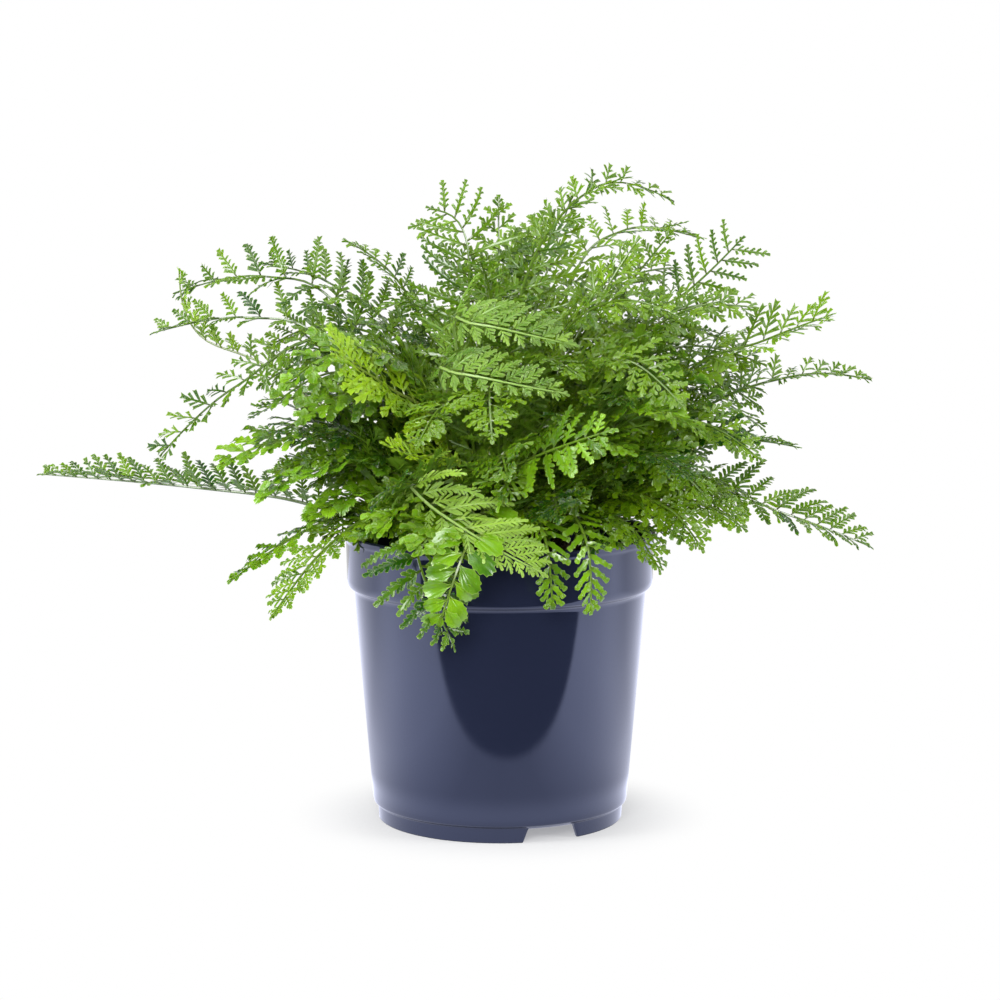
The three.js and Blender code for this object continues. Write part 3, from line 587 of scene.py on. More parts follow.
fan_turns = np.radians(np.linspace(-58, 58, ARC))
fan_teeth = np.resize([0.80, 1.0, 0.90, 1.0], ARC)
fan_reach = fan_teeth * (1 - 0.10 * (fan_turns / fan_turns[-1]) ** 2)
coin_turns = np.radians(np.linspace(-128, 128, ARC))
coin_reach = 0.45 * np.resize([0.87, 1.0], ARC)
fan_arcs = zip(fan_reach, fan_turns), fan_turns[1::2] * 0.9
coin_arcs = zip(coin_reach, coin_turns), coin_turns[1::2]
SCALLOPED = {
    "fan": scalloped(0.05, 0.16, 0.12, 0, *fan_arcs, 0.66, 0.24),
    "coin": scalloped(0.03, 0.12, 0.09, 0.55, *coin_arcs, 0.31, 0.36),
}
scalloped_top = [(HUB, 0, 1), (HUB, 1, 2), (HUB, 2, SCALLOPED_RIM), (2, 3, SCALLOPED_RIM)]
for k in range(ARC // 2):
    a, b = 3 + 2 * k, SCALLOPED_RIM + k
    scalloped_top += [(a, a + 1, b), (a + 1, a + 2, b)]
    last = b + 1 == HUB
    scalloped_top += [(a + 2, a + 3, b)] if last else [(a + 2, b + 1, b), (HUB, b, b + 1)]
scalloped_top += [(ARC + 3, HUB, HUB - 1), (ARC + 3, 0, HUB)]


def lens_faces(top, rim, total):
    """Faces of a lens: the upper ones, and the lower ones on middle points of their own."""
    lower = [tuple(v + total - rim if v >= rim else v for v in reversed(face)) for face in top]
    return np.array(top + lower)


lobe_top = [(LOBE_RIM, i, (i + 1) % LOBE_RIM) for i in range(LOBE_RIM)]
LOBE_FACES = lens_faces(lobe_top, LOBE_RIM, LOBE_RIM + 1)
SCALLOPED_FACES = lens_faces(scalloped_top, SCALLOPED_RIM, HUB + 1)

# Cuts: how a leaflet of each kind is cut, in millimetres. The distance between
# lobes, a lobe's length as a share of the leaflet and a fixed part, the width of a
# lobe 4.5 long, half the width of the blade along the rib, the lobes' angles at
# the foot and the tip, how far they fork, how much they shorten to the tip, how
# loosely the leaflets stand, how far they lean from the stalk, and the finish.
Cut = namedtuple(
    "Cut",
    "shape spacing share fixed girth wing angles fork taper loose leans finish",
    defaults=(0.85, (78, 52), None),
)
CUTS = {
    "fine": Cut("narrow", 3.3, 0.07, 2.9, 1.9, 0.6, (47, 32), 0.3, 0.3, 0.65),
    "comb": Cut("narrow", 3.0, 0.10, 2.7, 1.95, 0.6, (47, 34), 0, 0.4, 0.5, finish="fine"),
    "feather": Cut("narrow", 2.4, 0.08, 3.0, 1.25, 0.5, (40, 28), 0, 0.4, 0.4, (62, 38), "pale"),
    "lacy": Cut("narrow", 4.3, 0.13, 4.0, 1.6, 0.6, (46, 28), 0.75, 0.3, 1.0, finish="fine"),
    "young": Cut("narrow", 3.5, 0.12, 3.2, 1.7, 0.6, (46, 28), 0.7, 0.35),
    "medium": Cut("round", 3.5, 0.08, 3.0, 2.9, 1.6, (48, 32), 0, 0.4),
    "small": Cut("narrow", 3.2, 0.09, 2.6, 2.0, 0.9, (44, 32), 0, 0.4, 0.35, (94, 62), "medium"),
    "ladder": Cut("round", 4.6, 0.05, 2.1, 2.7, 1.7, (34, 24), 0, 0.4, 0.5, (66, 42), "medium"),
    "fans": Cut("fan", 6.3, 0.12, 6.0, 7.0, 0.5, (60, 35), 0, 0.3),
    "airy": Cut("narrow", 3.5, 0.04, 2.7, 1.6, 0.7, (46, 32), 0.2, 0.3, 0.4, (80, 62), "fine"),
    "broad": Cut("round", 4.2, 0.12, 3.8, 3.0, 1.5, (42, 26), 0.2, 0.35, 0.9, finish="medium"),
    "coins": Cut("coin", 99, 0, 5, 5.0, 0.4, (50, 40), 0, 0, 0.35, finish="fans"),
}
LEAF_THICKNESS = 0.32
Leaflet = namedtuple("Leaflet", "root out up side sweep droop fold curl")


def bent(leaflet, x, y, z):
    """Points of a leaflet, given along, across and above its rib, in their place."""
    turn = leaflet.sweep * x
    forward = np.sin(turn) / leaflet.sweep - y * np.sin(turn)
    sideways = (1 - np.cos(turn)) / leaflet.sweep + y * np.cos(turn)
    raised = z + leaflet.fold * np.abs(y)
    fall = leaflet.droop * forward
    out = np.sin(fall) / leaflet.droop + raised * np.sin(fall)
    up = (np.cos(fall) - 1) / leaflet.droop + raised * np.cos(fall)
    place = leaflet.root + out[..., None] * leaflet.out
    return place + sideways[..., None] * leaflet.side + up[..., None] * leaflet.up


def values(*parts):
    """Vectors from their three parts, spread over all points."""
    return np.stack(np.broadcast_arrays(*parts), -1)


def add_lobes(tissue, leaflet, cut, at, heading, length, breadth, fork, tone, draw):
    """All lobes of one leaflet: arrays of foot, angle, length, breadth and forking."""
    count = len(at)
    if cut.shape in SCALLOPED:
        flat = np.repeat(SCALLOPED[cut.shape][None], count, 0)
        rim, faces = SCALLOPED_RIM, SCALLOPED_FACES
        width = breadth / (2 * flat[0, :, 1].max())
    else:
        plain = LOBES[cut.shape]
        flat = plain + fork[:, None, None] * (LOBES["forked"] - plain)
        rim, faces = LOBE_RIM, LOBE_FACES
        width = breadth / 2
    jitter = 0.012 if cut.shape == "coin" else 0.035
    flat = flat + draw.normal(0, jitter, flat.shape) * (flat[..., :1] > 0.3)
    middle = np.repeat([0, 1, -1], [rim, flat.shape[1] - rim, flat.shape[1] - rim])
    flat = np.concatenate([flat, flat[:, rim:]], 1)
    t, w = flat[..., 0], flat[..., 1]
    ahead = t * length[:, None]
    aside = w * width[:, None]
    x = at[:, None] + ahead * np.cos(heading)[:, None] - aside * np.sin(heading)[:, None]
    y = ahead * np.sin(heading)[:, None] + aside * np.cos(heading)[:, None]
    wild = 0.8 if cut.fork < 0.3 else 1.4
    twist = draw.normal(0, 0.18 * wild, (count, 1))
    rise = draw.normal(0.08, 0.12 * wild, (count, 1))
    cup = draw.uniform(-0.15, 0.45, (count, 1))
    z = twist * aside + (rise - 0.40 * t * leaflet.curl) * ahead + cup * np.abs(aside)
    z = z + middle * LEAF_THICKNESS / 2
    own_tone = np.clip(tone + draw.normal(0, 0.06, (count, 1)), 0, 1)
    steps = np.arange(count)[:, None, None] * flat.shape[1]
    place = values(t, w, 0.5 - 0.5 * middle)
    tones = values(own_tone, middle == 0, 0)
    tissue.add(bent(leaflet, x, y, z), faces[None] + steps, place, tones)


def add_rib(tissue, leaflet, cut, length, stations, tone):
    """The winged rib of a leaflet, with its green or brown foot."""
    share = stations / length
    size = length / 20
    taper = np.interp(share, [0, 0.06, 0.2, 0.8, 1], [0.45, 0.7, 1, 0.75, 0.4])
    wing = cut.wing * (0.4 + 0.6 * size) * taper
    thick = np.interp(share, [0, 0.3, 1], [0.42, 0.30, 0.2])
    zero = np.zeros_like(stations)
    ring_x = np.repeat(stations[:, None], 4, 1)
    ring_y = np.stack([wing, zero, -wing, zero], 1)
    ring_z = np.stack([zero, thick, zero, -thick], 1)
    place = values(share[:, None], 0, np.array([0.5, 0, 0.5, 1]))
    woody = np.interp(share, [0, 0.08, 0.2], [0.8, 0.5, 0.0])
    tones = values(tone, np.zeros(4), woody[:, None])
    add_tube(tissue, bent(leaflet, ring_x, ring_y, ring_z), place, tones)


def add_leaflet(tissue, leaflet, cut, length, tone, tipward, draw):
    """One leaflet: its winged rib, its lobes on both sides and the lobe at its tip."""
    single = cut.shape in SCALLOPED and length < 1.2 * cut.spacing
    longest = cut.share * length + cut.fixed
    lobed = length - 0.5 * longest
    if single:
        pairs = 0
        stations = np.linspace(0, 0.4 * length, 3)
    else:
        pairs = int(np.clip(round(lobed / cut.spacing), 1, 12))
        stations = np.linspace(0, max(lobed, 0.3 * length), 5 if length < 10 else 6)
    add_rib(tissue, leaflet, cut, length, stations, tone)
    last_foot = max(length - 0.8 * longest, 0.35 * length)
    at, heading, lengths, forks = [], [], [], []
    for side in (1, -1):
        for j in range(pairs):
            t = (j + 0.30 + (0.30 if side == tipward else 0)) / pairs
            first = 1.2 if side == tipward else 0.85
            full = (1 - cut.taper * t**1.3) * (1.0 if j else first)
            angle = np.interp(t, [0, 1], cut.angles) + draw.normal(0, 4)
            at.append(last_foot * (0.06 + 0.94 * t))
            heading.append(side * math.radians(angle))
            lengths.append(longest * full * draw.uniform(0.88, 1.12))
            forks.append(cut.fork * max(0, 1 - 0.8 * t) * draw.uniform(0.3, 1))
    at.append(0.0 if single else length - 0.8 * longest)
    heading.append(draw.normal(0, 0.05))
    lengths.append(length - at[-1])
    forks.append(0.7 * cut.fork)
    at, heading, lengths, forks = (np.array(a) for a in (at, heading, lengths, forks))
    if single:
        breadths = (0.82 if cut.shape == "fan" else 0.62) * lengths
    elif cut.shape in SCALLOPED:
        breadths = cut.girth * lengths / 6.0
    else:
        breadths = cut.girth * np.sqrt(lengths / 4.5)
        breadths[-1] *= 1.45
    add_lobes(tissue, leaflet, cut, at, heading, lengths, breadths, forks, tone, draw)


# Fronds: each is a green stalk, grown from the crown, that carries two rows of
# leaflets. Old fronds arch over the rim and hang; young ones stand and unroll.
# Ring by ring from the outside: name, azimuth, sway, radius and height at a third,
# two thirds and the whole of the way, roll, fold, width, kind, pairs, tone and,
# where they differ, the tip's width share and the fold of the row in front.
Row = namedtuple(
    "Row",
    "name azimuth sway r1 z1 r2 z2 r3 z3 roll fold width kind pairs tone tip near_fold",
    defaults=(0.24, None),
)
RING_RADII = {"outer": 34, "low": 27, "middle": 19, "high": 11.5, "top": 4.5}
BARE_SHARE = 0.27
STALK_SINK = 3
STALK_GIRTHS = [1.10, 0.95, 0.36]
STALK_SCALES = 16
SCALE_TONE = (0.5, 0, 1.0)
SCALY_SHARE = 0.24  # of the stalk, from its foot
TONE_SPREAD = 0.15
TONE_RISE = 0.15  # from the foot to the tip
SHORTEST_LEAFLET = 5
STRAIGHT_SWAY = 15  # up to here the leaflets' plane faces straight outward
FRONDS = {
    "outer": [
        ("left", 184, 0, 85, 143, 134, 151, 205, 158, 0, 50, 40, "comb", 21, 0.35, 0.30, 32),
        ("left_front", 203, 0, 60, 143, 92, 136, 128, 115, 0, 8, 32, "medium", 12, 0.35),
        ("front_left", 222, 0, 60, 146, 98, 134, 130, 106, 0, 15, 40, "comb", 15, 0.55),
        ("hang_dark", 238, 20, 64, 147, 88, 130, 92, 94, 0, 8, 56, "small", 12, 0.15, 0.35),
        ("hang_fans", 266, -11, 64, 149, 94, 136, 99, 104, 0, 4, 35, "coins", 10, 0.65, 0.5),
        ("hang_small", 283, 2, 62, 146, 82, 136, 86, 110, 0, 12, 26, "ladder", 12, 0.45, 0.4),
        ("hang_slim", 296, 0, 62, 147, 84, 136, 88, 107, 0, 12, 26, "ladder", 12, 0.60, 0.4),
        ("rim_right", 312, 0, 60, 144, 82, 142, 102, 124, 0, 15, 38, "fine", 15, 0.45),
        ("right_front", 332, 0, 60, 147, 95, 150, 120, 139, 25, 12, 38, "comb", 15, 0.42),
        ("right", 349, 0, 80, 154, 130, 141, 166, 128, 0, 42, 48, "comb", 15, 0.35, 0.4, 5),
        ("back_a", 34, 4, 66, 148, 104, 150, 140, 132, 0, 15, 42, "medium", 12, 0.35),
        ("back_b", 70, -4, 66, 147, 108, 146, 148, 124, 0, 15, 44, "fine", 15, 0.50),
        ("back_c", 106, 5, 66, 149, 108, 150, 148, 132, 0, 15, 44, "fine", 15, 0.40),
        ("back_d", 145, 0, 66, 148, 102, 152, 134, 144, 0, 18, 42, "fans", 10, 0.50),
    ],
    "low": [
        ("left_curl", 171, 0, 96, 196, 138, 217, 147, 247, 0, 45, 30, "young", 15, 0.15),
        ("left_fans", 197, 0, 55, 167, 95, 176, 128, 164, -20, 14, 44, "broad", 11, 0.50, 0.4),
        ("left_fans_b", 211, 0, 54, 160, 92, 164, 120, 153, 0, 14, 36, "fans", 9, 0.35, 0.4),
        ("front_young", 240, -3, 45, 166, 70, 171, 92, 179, -30, 20, 28, "young", 13, 0.60),
        ("front_right", 303, 4, 45, 163, 70, 178, 94, 174, 0, 6, 46, "medium", 12, 0.55),
        ("right_front", 320, 0, 50, 164, 85, 172, 116, 154, 25, 12, 44, "fine", 15, 0.40),
        ("right_droop", 338, 0, 54, 174, 90, 184, 122, 168, 30, 12, 44, "comb", 15, 0.45),
        ("right_long", 4, 2, 86, 181, 132, 199, 169, 197, 20, 30, 36, "lacy", 16, 0.35),
        ("right_under", 14, 0, 74, 160, 110, 168, 142, 164, 0, 25, 36, "fine", 15, 0.30),
        ("back_a", 27, -4, 60, 176, 100, 188, 134, 170, 0, 15, 42, "fine", 15, 0.45),
        ("back_b", 52, 4, 58, 172, 100, 184, 142, 164, 0, 12, 44, "medium", 12, 0.40),
        ("back_c", 84, -4, 58, 178, 100, 190, 144, 172, 0, 15, 44, "fine", 15, 0.45),
        ("back_d", 118, 5, 58, 174, 98, 186, 138, 166, 0, 12, 44, "medium", 12, 0.40),
        ("back_e", 150, 0, 60, 174, 100, 186, 136, 174, 0, 18, 42, "fine", 15, 0.40),
    ],
    "middle": [
        ("left_droop", 189, 0, 72, 214, 117, 198, 152, 167, -8, 42, 38, "lacy", 14, 0.25, 0.55, 5),
        ("left", 177, 0, 76, 212, 112, 226, 156, 219, 0, 54, 46, "comb", 11, 0.25, 0.40, 8),
        ("left_front", 206, 2, 42, 202, 76, 214, 106, 200, -20, 12, 44, "broad", 11, 0.35),
        ("young", 222, -3, 36, 180, 63, 199, 91, 215, -50, 10, 50, "young", 15, 0.50, 0.8),
        ("front_left", 246, 0, 36, 188, 62, 192, 86, 178, 0, 8, 40, "comb", 14, 0.50),
        ("front", 264, 4, 34, 190, 60, 200, 92, 182, 0, 8, 44, "comb", 15, 0.55),
        ("front_pale", 284, 12, 28, 190, 54, 212, 80, 206, 0, 6, 40, "comb", 15, 0.45),
        ("right_front", 317, 0, 38, 198, 72, 212, 106, 194, 30, 12, 44, "fine", 15, 0.50),
        ("right", 349, 0, 80, 200, 118, 218, 148, 230, 35, 18, 48, "lacy", 13, 0.60, 0.55),
        ("back_a", 20, 0, 42, 204, 80, 221, 118, 208, 0, 18, 44, "fine", 15, 0.55),
        ("back_b", 66, 4, 38, 202, 76, 220, 114, 204, 0, 12, 44, "fine", 15, 0.50),
        ("back_c", 104, -4, 38, 204, 74, 222, 112, 206, 0, 12, 44, "medium", 12, 0.45),
        ("back_d", 140, 3, 38, 202, 76, 220, 114, 206, 0, 15, 44, "fine", 15, 0.50),
    ],
    "high": [
        ("left", 165, 0, 72, 226, 110, 243, 154, 235, 0, 62, 60, "fine", 11, 0.25, 0.40, 12),
        ("left_back", 146, 4, 30, 200, 54, 240, 82, 259, 0, 15, 40, "fine", 15, 0.40),
        ("front_left", 222, 0, 24, 208, 48, 234, 72, 232, 0, 10, 42, "fine", 13, 0.40),
        ("front", 275, 22, 20, 200, 38, 229, 58, 226, 0, 6, 42, "comb", 15, 0.30),
        ("right_front", 333, 0, 26, 210, 54, 235, 86, 230, 30, 10, 44, "fine", 15, 0.45),
        ("right", 8, 0, 52, 212, 86, 238, 110, 261, 50, 8, 46, "airy", 14, 0.20, 0.75),
        ("right_mid", 30, 0, 34, 214, 62, 240, 96, 246, 35, 12, 46, "lacy", 13, 0.45, 0.4),
        ("right_back", 52, -8, 50, 236, 86, 262, 130, 258, 20, 22, 42, "fine", 15, 0.60, 0.5),
        ("back", 96, -26, 30, 212, 58, 250, 88, 268, 0, 18, 40, "young", 15, 0.35),
    ],
    "top": [
        ("left", 152, 0, 15, 212, 17.5, 262, 36, 274, -60, 8, 60, "airy", 15, 0.35, 0.6),
        ("back", 92, 0, 8, 205, 14, 248, 20, 279, 0, 12, 46, "fine", 12, 0.30),
        ("arch", 20, 0, 10, 236, 44, 283, 84, 277, 10, 35, 34, "lacy", 18, 0.35, 0.40, 5),
        ("front", 258, 0, 8, 196, 20, 236, 42, 254, 0, 12, 46, "fine", 15, 0.45),
    ],
}


def unit(vectors):
    return vectors / np.linalg.norm(vectors, axis=-1, keepdims=True)


class Stalk:
    """The curve of a frond's stalk from the crown to the tip, and frames along it."""

    def __init__(self, row, ring, count=91):
        self.row = row
        knots = [(ring, crown_height(ring)), (row.r1, row.z1), (row.r2, row.z2), (row.r3, row.z3)]
        knots = np.array(knots, float)
        first, final = knots[1] - knots[0], knots[3] - knots[2]
        inner = [(knots[2] - knots[0]) / 2, (knots[3] - knots[1]) / 2]
        launch = np.array([0.5 * first[0], first[1] + 0.25 * np.hypot(*first)])
        slopes = np.array([launch, inner[0], inner[1], 1.5 * final - 0.5 * inner[1]])
        share = np.linspace(0, 1, count)
        piece = np.minimum((share * 3).astype(int), 2)
        u = (share * 3 - piece)[:, None]
        reach = (2 * u**3 - 3 * u**2 + 1) * knots[piece] + (u**3 - 2 * u**2 + u) * slopes[piece]
        reach += (3 * u**2 - 2 * u**3) * knots[piece + 1] + (u**3 - u**2) * slopes[piece + 1]
        turn = np.radians(row.azimuth + row.sway * share**2)
        self.points = values(reach[:, 0] * np.cos(turn), reach[:, 0] * np.sin(turn), reach[:, 1])
        steps = np.linalg.norm(np.diff(self.points, axis=0), axis=1)
        self.marks = np.concatenate([[0], np.cumsum(steps)])
        self.length = self.marks[-1]

    def at(self, distances):
        return values(*(np.interp(distances, self.marks, self.points[:, k]) for k in range(3)))

    def frames(self, distances):
        """Place, direction, left and upper side at distances from the foot."""
        after = self.at(np.minimum(distances + 1, self.length))
        ahead = unit(after - self.at(np.maximum(distances - 1, 0)))
        outward = spot(math.radians(self.row.azimuth))
        heading = np.tile(outward, (len(distances), 1))
        if abs(self.row.sway) > STRAIGHT_SWAY:
            heading = ahead + 0.15 * outward
        left = unit(np.cross(UP, heading))
        left = unit(left - ahead * np.sum(left * ahead, 1, keepdims=True))
        begun = np.minimum(distances / (BARE_SHARE * self.length), 1)
        roll = np.radians(self.row.roll * begun)[:, None]
        left = left * np.cos(roll) + np.cross(ahead, left) * np.sin(roll)
        return self.at(distances), ahead, left, np.cross(ahead, left)

    def frame(self, distance):
        return [part[0] for part in self.frames(np.array([distance]))]


def leaflet_share(u, tip):
    """Length of a leaflet as a share of the half width."""
    swell = 0.72 + 0.28 * np.sin(np.minimum(u / 0.3, 1) * math.pi / 2)
    return swell * (1 - (1 - tip) * np.maximum((u - 0.3) / 0.7, 0) ** 2)


def add_stalk(tissue, stalk, row, ring, stations, sides):
    """The stalk itself, thicker at its foot, with a groove along its upper side."""
    distances = np.linspace(0, stalk.length, stations)
    at, _, left, upper = stalk.frames(distances)
    at[0, 2] = crown_height(ring) - STALK_SINK
    share = (distances / stalk.length)[:, None]
    girth = np.interp(share, [0, 0.25, 1], STALK_GIRTHS)
    rings = []
    for side in range(sides):
        turn = FULL_TURN * side / sides + math.pi / 2
        grooved = 0.55 if side == 0 else 1.0
        rings.append(at + girth * (math.cos(turn) * left + grooved * math.sin(turn) * upper))
    green = np.interp(share, [0, 0.6, 1], [1, 0.9, 0.5])
    place, tone = values(share, np.zeros(sides), 0), values(row.tone, np.zeros(sides), green)
    add_tube(tissue, np.stack(rings, 1), place, tone)


def add_stalk_scales(tissue, stalk, draw):
    """Thin brown scales round the foot of a stalk, closest together at the crown."""
    for i in range(STALK_SCALES):
        way = SCALY_SHARE * (i / STALK_SCALES) ** 1.4
        foot, ahead, left, upper = stalk.frame(stalk.length * way)
        turn = draw.uniform(0, FULL_TURN)
        outward = left * math.cos(turn) + upper * math.sin(turn)
        along = unit(ahead + outward * draw.uniform(0.2, 0.8))
        across = unit(np.cross(along, outward))
        sizes = draw.uniform(1.6, 3.4), draw.uniform(0.5, 0.9), draw.uniform(0.1, 0.5)
        scale = blade(foot + 0.6 * outward, along, across, outward, *sizes)
        tissue.add(scale, BLADE_FACES, tone=SCALE_TONE)


def loose_leaflet(frame, cut, lean, fold, side, draw):
    """A leaflet's place and stand on one side of the stalk, each a little different."""
    at, ahead, left, upper = frame
    lean = math.radians(lean + draw.normal(0, 3))
    tilt = math.radians(fold + draw.normal(0, 11 * cut.loose))
    outward = left * side * math.cos(tilt) + upper * math.sin(tilt)
    out = unit(ahead * math.cos(lean) + outward * math.sin(lean))
    forward = unit(ahead - out * np.dot(ahead, out))
    up = np.cross(forward, out) * side
    spin = draw.normal(0, 0.32 * cut.loose)
    up = unit(up * math.cos(spin) + forward * math.sin(spin))
    sweep = -side * (0.008 + 0.006 * draw.normal()) + 1e-6
    droop = 0.016 + 0.018 * cut.loose * draw.normal() + 1e-6
    bends = sweep, droop, draw.uniform(0.05, 0.25), draw.uniform(0.2, 1.0)
    return Leaflet(at + left * side * 0.2, out, up, np.cross(up, out), *bends)


def grow_frond(row, ring, seed, stations=40, sides=7):
    """One frond: its stalk, the scales at the stalk's foot and its leaflets."""
    draw = np.random.default_rng(seed)
    cut = CUTS[row.kind]
    near_fold = row.fold if row.near_fold is None else row.near_fold
    near_side = 1 if 90 < row.azimuth < 270 else -1
    tissue = Tissue()
    stalk = Stalk(row, ring)
    add_stalk(tissue, stalk, row, ring, stations, sides)
    add_stalk_scales(tissue, stalk, draw)
    bare = BARE_SHARE * stalk.length
    end = stalk.length - 0.10 * row.width
    lean_foot, lean_tip = cut.leans
    for side in (1, -1):
        fold = near_fold if side == near_side else row.fold
        shares = (np.arange(row.pairs) + (0.35 if side > 0 else 0.65)) / row.pairs
        places = stalk.frames(bare + (end - bare) * (1.25 * shares - 0.25 * shares**2))
        for u, *frame in zip(shares, *places):
            lean = lean_foot + (lean_tip - lean_foot) * u
            leaflet = loose_leaflet(frame, cut, lean, fold, side, draw)
            length = max(row.width / 2 * leaflet_share(u, row.tip), 5.6 - 1.0 * u)
            length *= draw.uniform(0.92, 1.08)
            if row.kind == "feather" and side != near_side:
                length = max(0.5 * length, SHORTEST_LEAFLET)
            tone = np.clip(row.tone + draw.normal(0, TONE_SPREAD) + TONE_RISE * u, 0, 1)
            add_leaflet(tissue, leaflet, cut, length, tone, -side, draw)
    at, ahead, left, upper = stalk.frame(end - 1.0)
    leaflet = Leaflet(at, ahead, upper, np.cross(upper, ahead), 1e-4, 0.02, 0.1, 0.5)
    length = max(0.16 * row.width, SHORTEST_LEAFLET)
    add_leaflet(tissue, leaflet, cut, length, row.tone, 1, draw)
    return tissue


def add_frond_piece(name, tissues, kind):
    """One piece from one or more fronds with the same finish."""
    whole = Tissue()
    for tissue in tissues:
        whole.add(*tissue.arrays())
    points, faces, places, tones = whole.arrays()
    piece = add_piece(name, points, faces.tolist(), leaf_finishes[kind], 50)
    for label, parts in [("leaf_place", places), ("leaf_tone", tones)]:
        layer = piece.data.attributes.new(label, "FLOAT_VECTOR", "POINT")
        layer.data.foreach_set("vector", np.ascontiguousarray(parts, dtype=np.float32).ravel())
    return piece


def finish_of(kind):
    return CUTS[kind].finish or kind


seed = 100
for ring_name, rows in FRONDS.items():
    for row in rows:
        seed += 1
        row = Row(*row)
        tissue = grow_frond(row, RING_RADII[ring_name], seed)
        frond = add_frond_piece(f"fern_{ring_name}_{row.name}", [tissue], finish_of(row.kind))
        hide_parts(f"frond_{ring_name}_{row.name}")

# Inner fronds: short ones, younger or older than the long fronds, that fill the
# heart of the plant and hide the stalks. They grow between the others. A few are
# placed one by one, as the photograph shows them, the rest in bands at random.
INNER_BANDS = [  # count, azimuths, climb in degrees, length
    (26, (0, 360), (6, 34), (72, 100)),
    (28, (0, 360), (34, 74), (76, 112)),
    (12, (-48, 48), (28, 66), (104, 138)),
    (6, (120, 215), (28, 60), (90, 116)),
    (12, (196, 344), (-2, 16), (60, 82)),
]
INNER_KINDS = ["lacy", "broad", "fine", "fans", "lacy", "comb", "medium", "lacy"]
INNER_FOOT_Z = 124
GOLDEN_SHARE = 0.381966
FRONDS_A_PIECE = 10
YOUNG_ROOM = (218, 262)  # azimuths kept free round the young frond in front
PLACED = [  # as in the table above, with the radius at the crown in the first place
    (27, 230, 51, 67, 157, 86, 150, 96, 126, 45, 8, 64, "feather", 14, 0.70, 0.35),
    (8, 234, 60, 40, 220, 62, 228, 78, 220, 62, 8, 50, "feather", 16, 0.25),
    (8, 226, 64, 42, 200, 64, 207, 82, 200, 62, 8, 46, "feather", 15, 0.20),
    (20, 265, 33, 50, 158, 76, 172, 101, 186, 44, 6, 54, "small", 14, 0.40, 0.35),
    (27, 322, 0, 62, 150, 90, 149, 110, 132, 20, 12, 42, "comb", 13, 0.50),
    (27, 338, 0, 64, 154, 92, 153, 114, 140, 20, 14, 42, "comb", 13, 0.45),
    (10, 14, 0, 32, 205, 58, 238, 80, 264, 45, 6, 42, "fine", 13, 0.45),
    (6, 140, 0, 10, 200, 18, 238, 34, 258, -50, 8, 50, "fine", 13, 0.35),
    (6, 60, 0, 8, 200, 14, 238, 26, 264, 20, 8, 46, "airy", 13, 0.35),
    (10, -10, 0, 24, 195, 45, 235, 62, 262, 55, 8, 46, "lacy", 14, 0.60),
    (8, 62, 0, 14, 205, 28, 245, 42, 272, 25, 8, 50, "fine", 15, 0.45),
    (8, 28, 0, 14, 210, 27, 255, 37, 280, 50, 8, 46, "lacy", 14, 0.65),
    (14, -14, 0, 42, 196, 74, 226, 104, 236, 45, 10, 46, "comb", 14, 0.35),
    (14, -4, 0, 50, 196, 82, 214, 118, 206, 35, 12, 46, "lacy", 12, 0.40),
    (16, 8, 0, 48, 190, 84, 202, 120, 184, 30, 12, 46, "comb", 13, 0.25, 0.4),
    (12, -8, 0, 46, 205, 78, 230, 114, 232, 40, 8, 44, "lacy", 12, 0.50, 0.5),
    (11, 158, 0, 50, 215, 84, 240, 118, 248, 0, 50, 50, "comb", 12, 0.25, 0.4, 10),
    (14, 182, 0, 46, 196, 76, 210, 108, 196, -30, 20, 46, "comb", 13, 0.25, 0.45),
    (16, 196, 0, 44, 190, 74, 204, 104, 190, -30, 12, 46, "broad", 11, 0.20),
    (15, 207, 0, 44, 186, 72, 196, 98, 184, -30, 12, 46, "medium", 12, 0.30),
    (12, 172, 0, 44, 206, 76, 222, 106, 212, -25, 20, 46, "comb", 13, 0.30, 0.45),
]
draw = np.random.default_rng(31)
inner = {}
seed = 500
for ring, *row in PLACED:
    seed += 1
    row = Row("placed", *row)
    inner.setdefault(finish_of(row.kind), []).append(grow_frond(row, ring, seed, 30))
for count, azimuths, climbs, lengths in INNER_BANDS:
    for i in range(count):
        seed += 1
        kind = INNER_KINDS[i % len(INNER_KINDS)]
        way = (azimuths[1] - azimuths[0]) * (i * GOLDEN_SHARE % 1)
        azimuth = azimuths[0] + way + draw.uniform(-6, 6)
        climb = draw.uniform(*climbs)
        length = draw.uniform(*lengths)
        ring = draw.uniform(8, 30)
        rise = length * (0.35 + 0.65 * math.sin(math.radians(climb)))
        reach = length * math.cos(math.radians(climb))
        path = [ring + 0.30 * reach, INNER_FOOT_Z + 0.40 * rise]
        path += [ring + 0.66 * reach, INNER_FOOT_Z + 0.76 * rise]
        path += [ring + reach, INNER_FOOT_Z + 0.9 * rise - 0.18 * reach]
        fold = draw.uniform(0, 22)
        width = draw.uniform(36, 48)
        pairs = 8 if kind == "fans" else 12
        sway = draw.uniform(-8, 8)
        roll = draw.uniform(-35, 35)
        # Tones are drawn at random but darker on the whole in the heart, partly painted shade; the
        # low band in front is lifted by 0.35, painted light on fronds shaded by those above.
        tone = draw.uniform(-0.3, 0.70) + (0.35 if climbs[1] < 20 else 0)
        if climb > 34 and YOUNG_ROOM[0] < azimuth < YOUNG_ROOM[1]:
            continue
        row = Row("inner", azimuth, sway, *path, roll, fold, width, kind, pairs, tone)
        inner.setdefault(finish_of(kind), []).append(grow_frond(row, ring, seed, 20, 5))
for kind, tissues in inner.items():
    for first in range(0, len(tissues), FRONDS_A_PIECE):
        name = f"inner_{kind}_{first // FRONDS_A_PIECE + 1}"
        add_frond_piece(name, tissues[first : first + FRONDS_A_PIECE], kind)

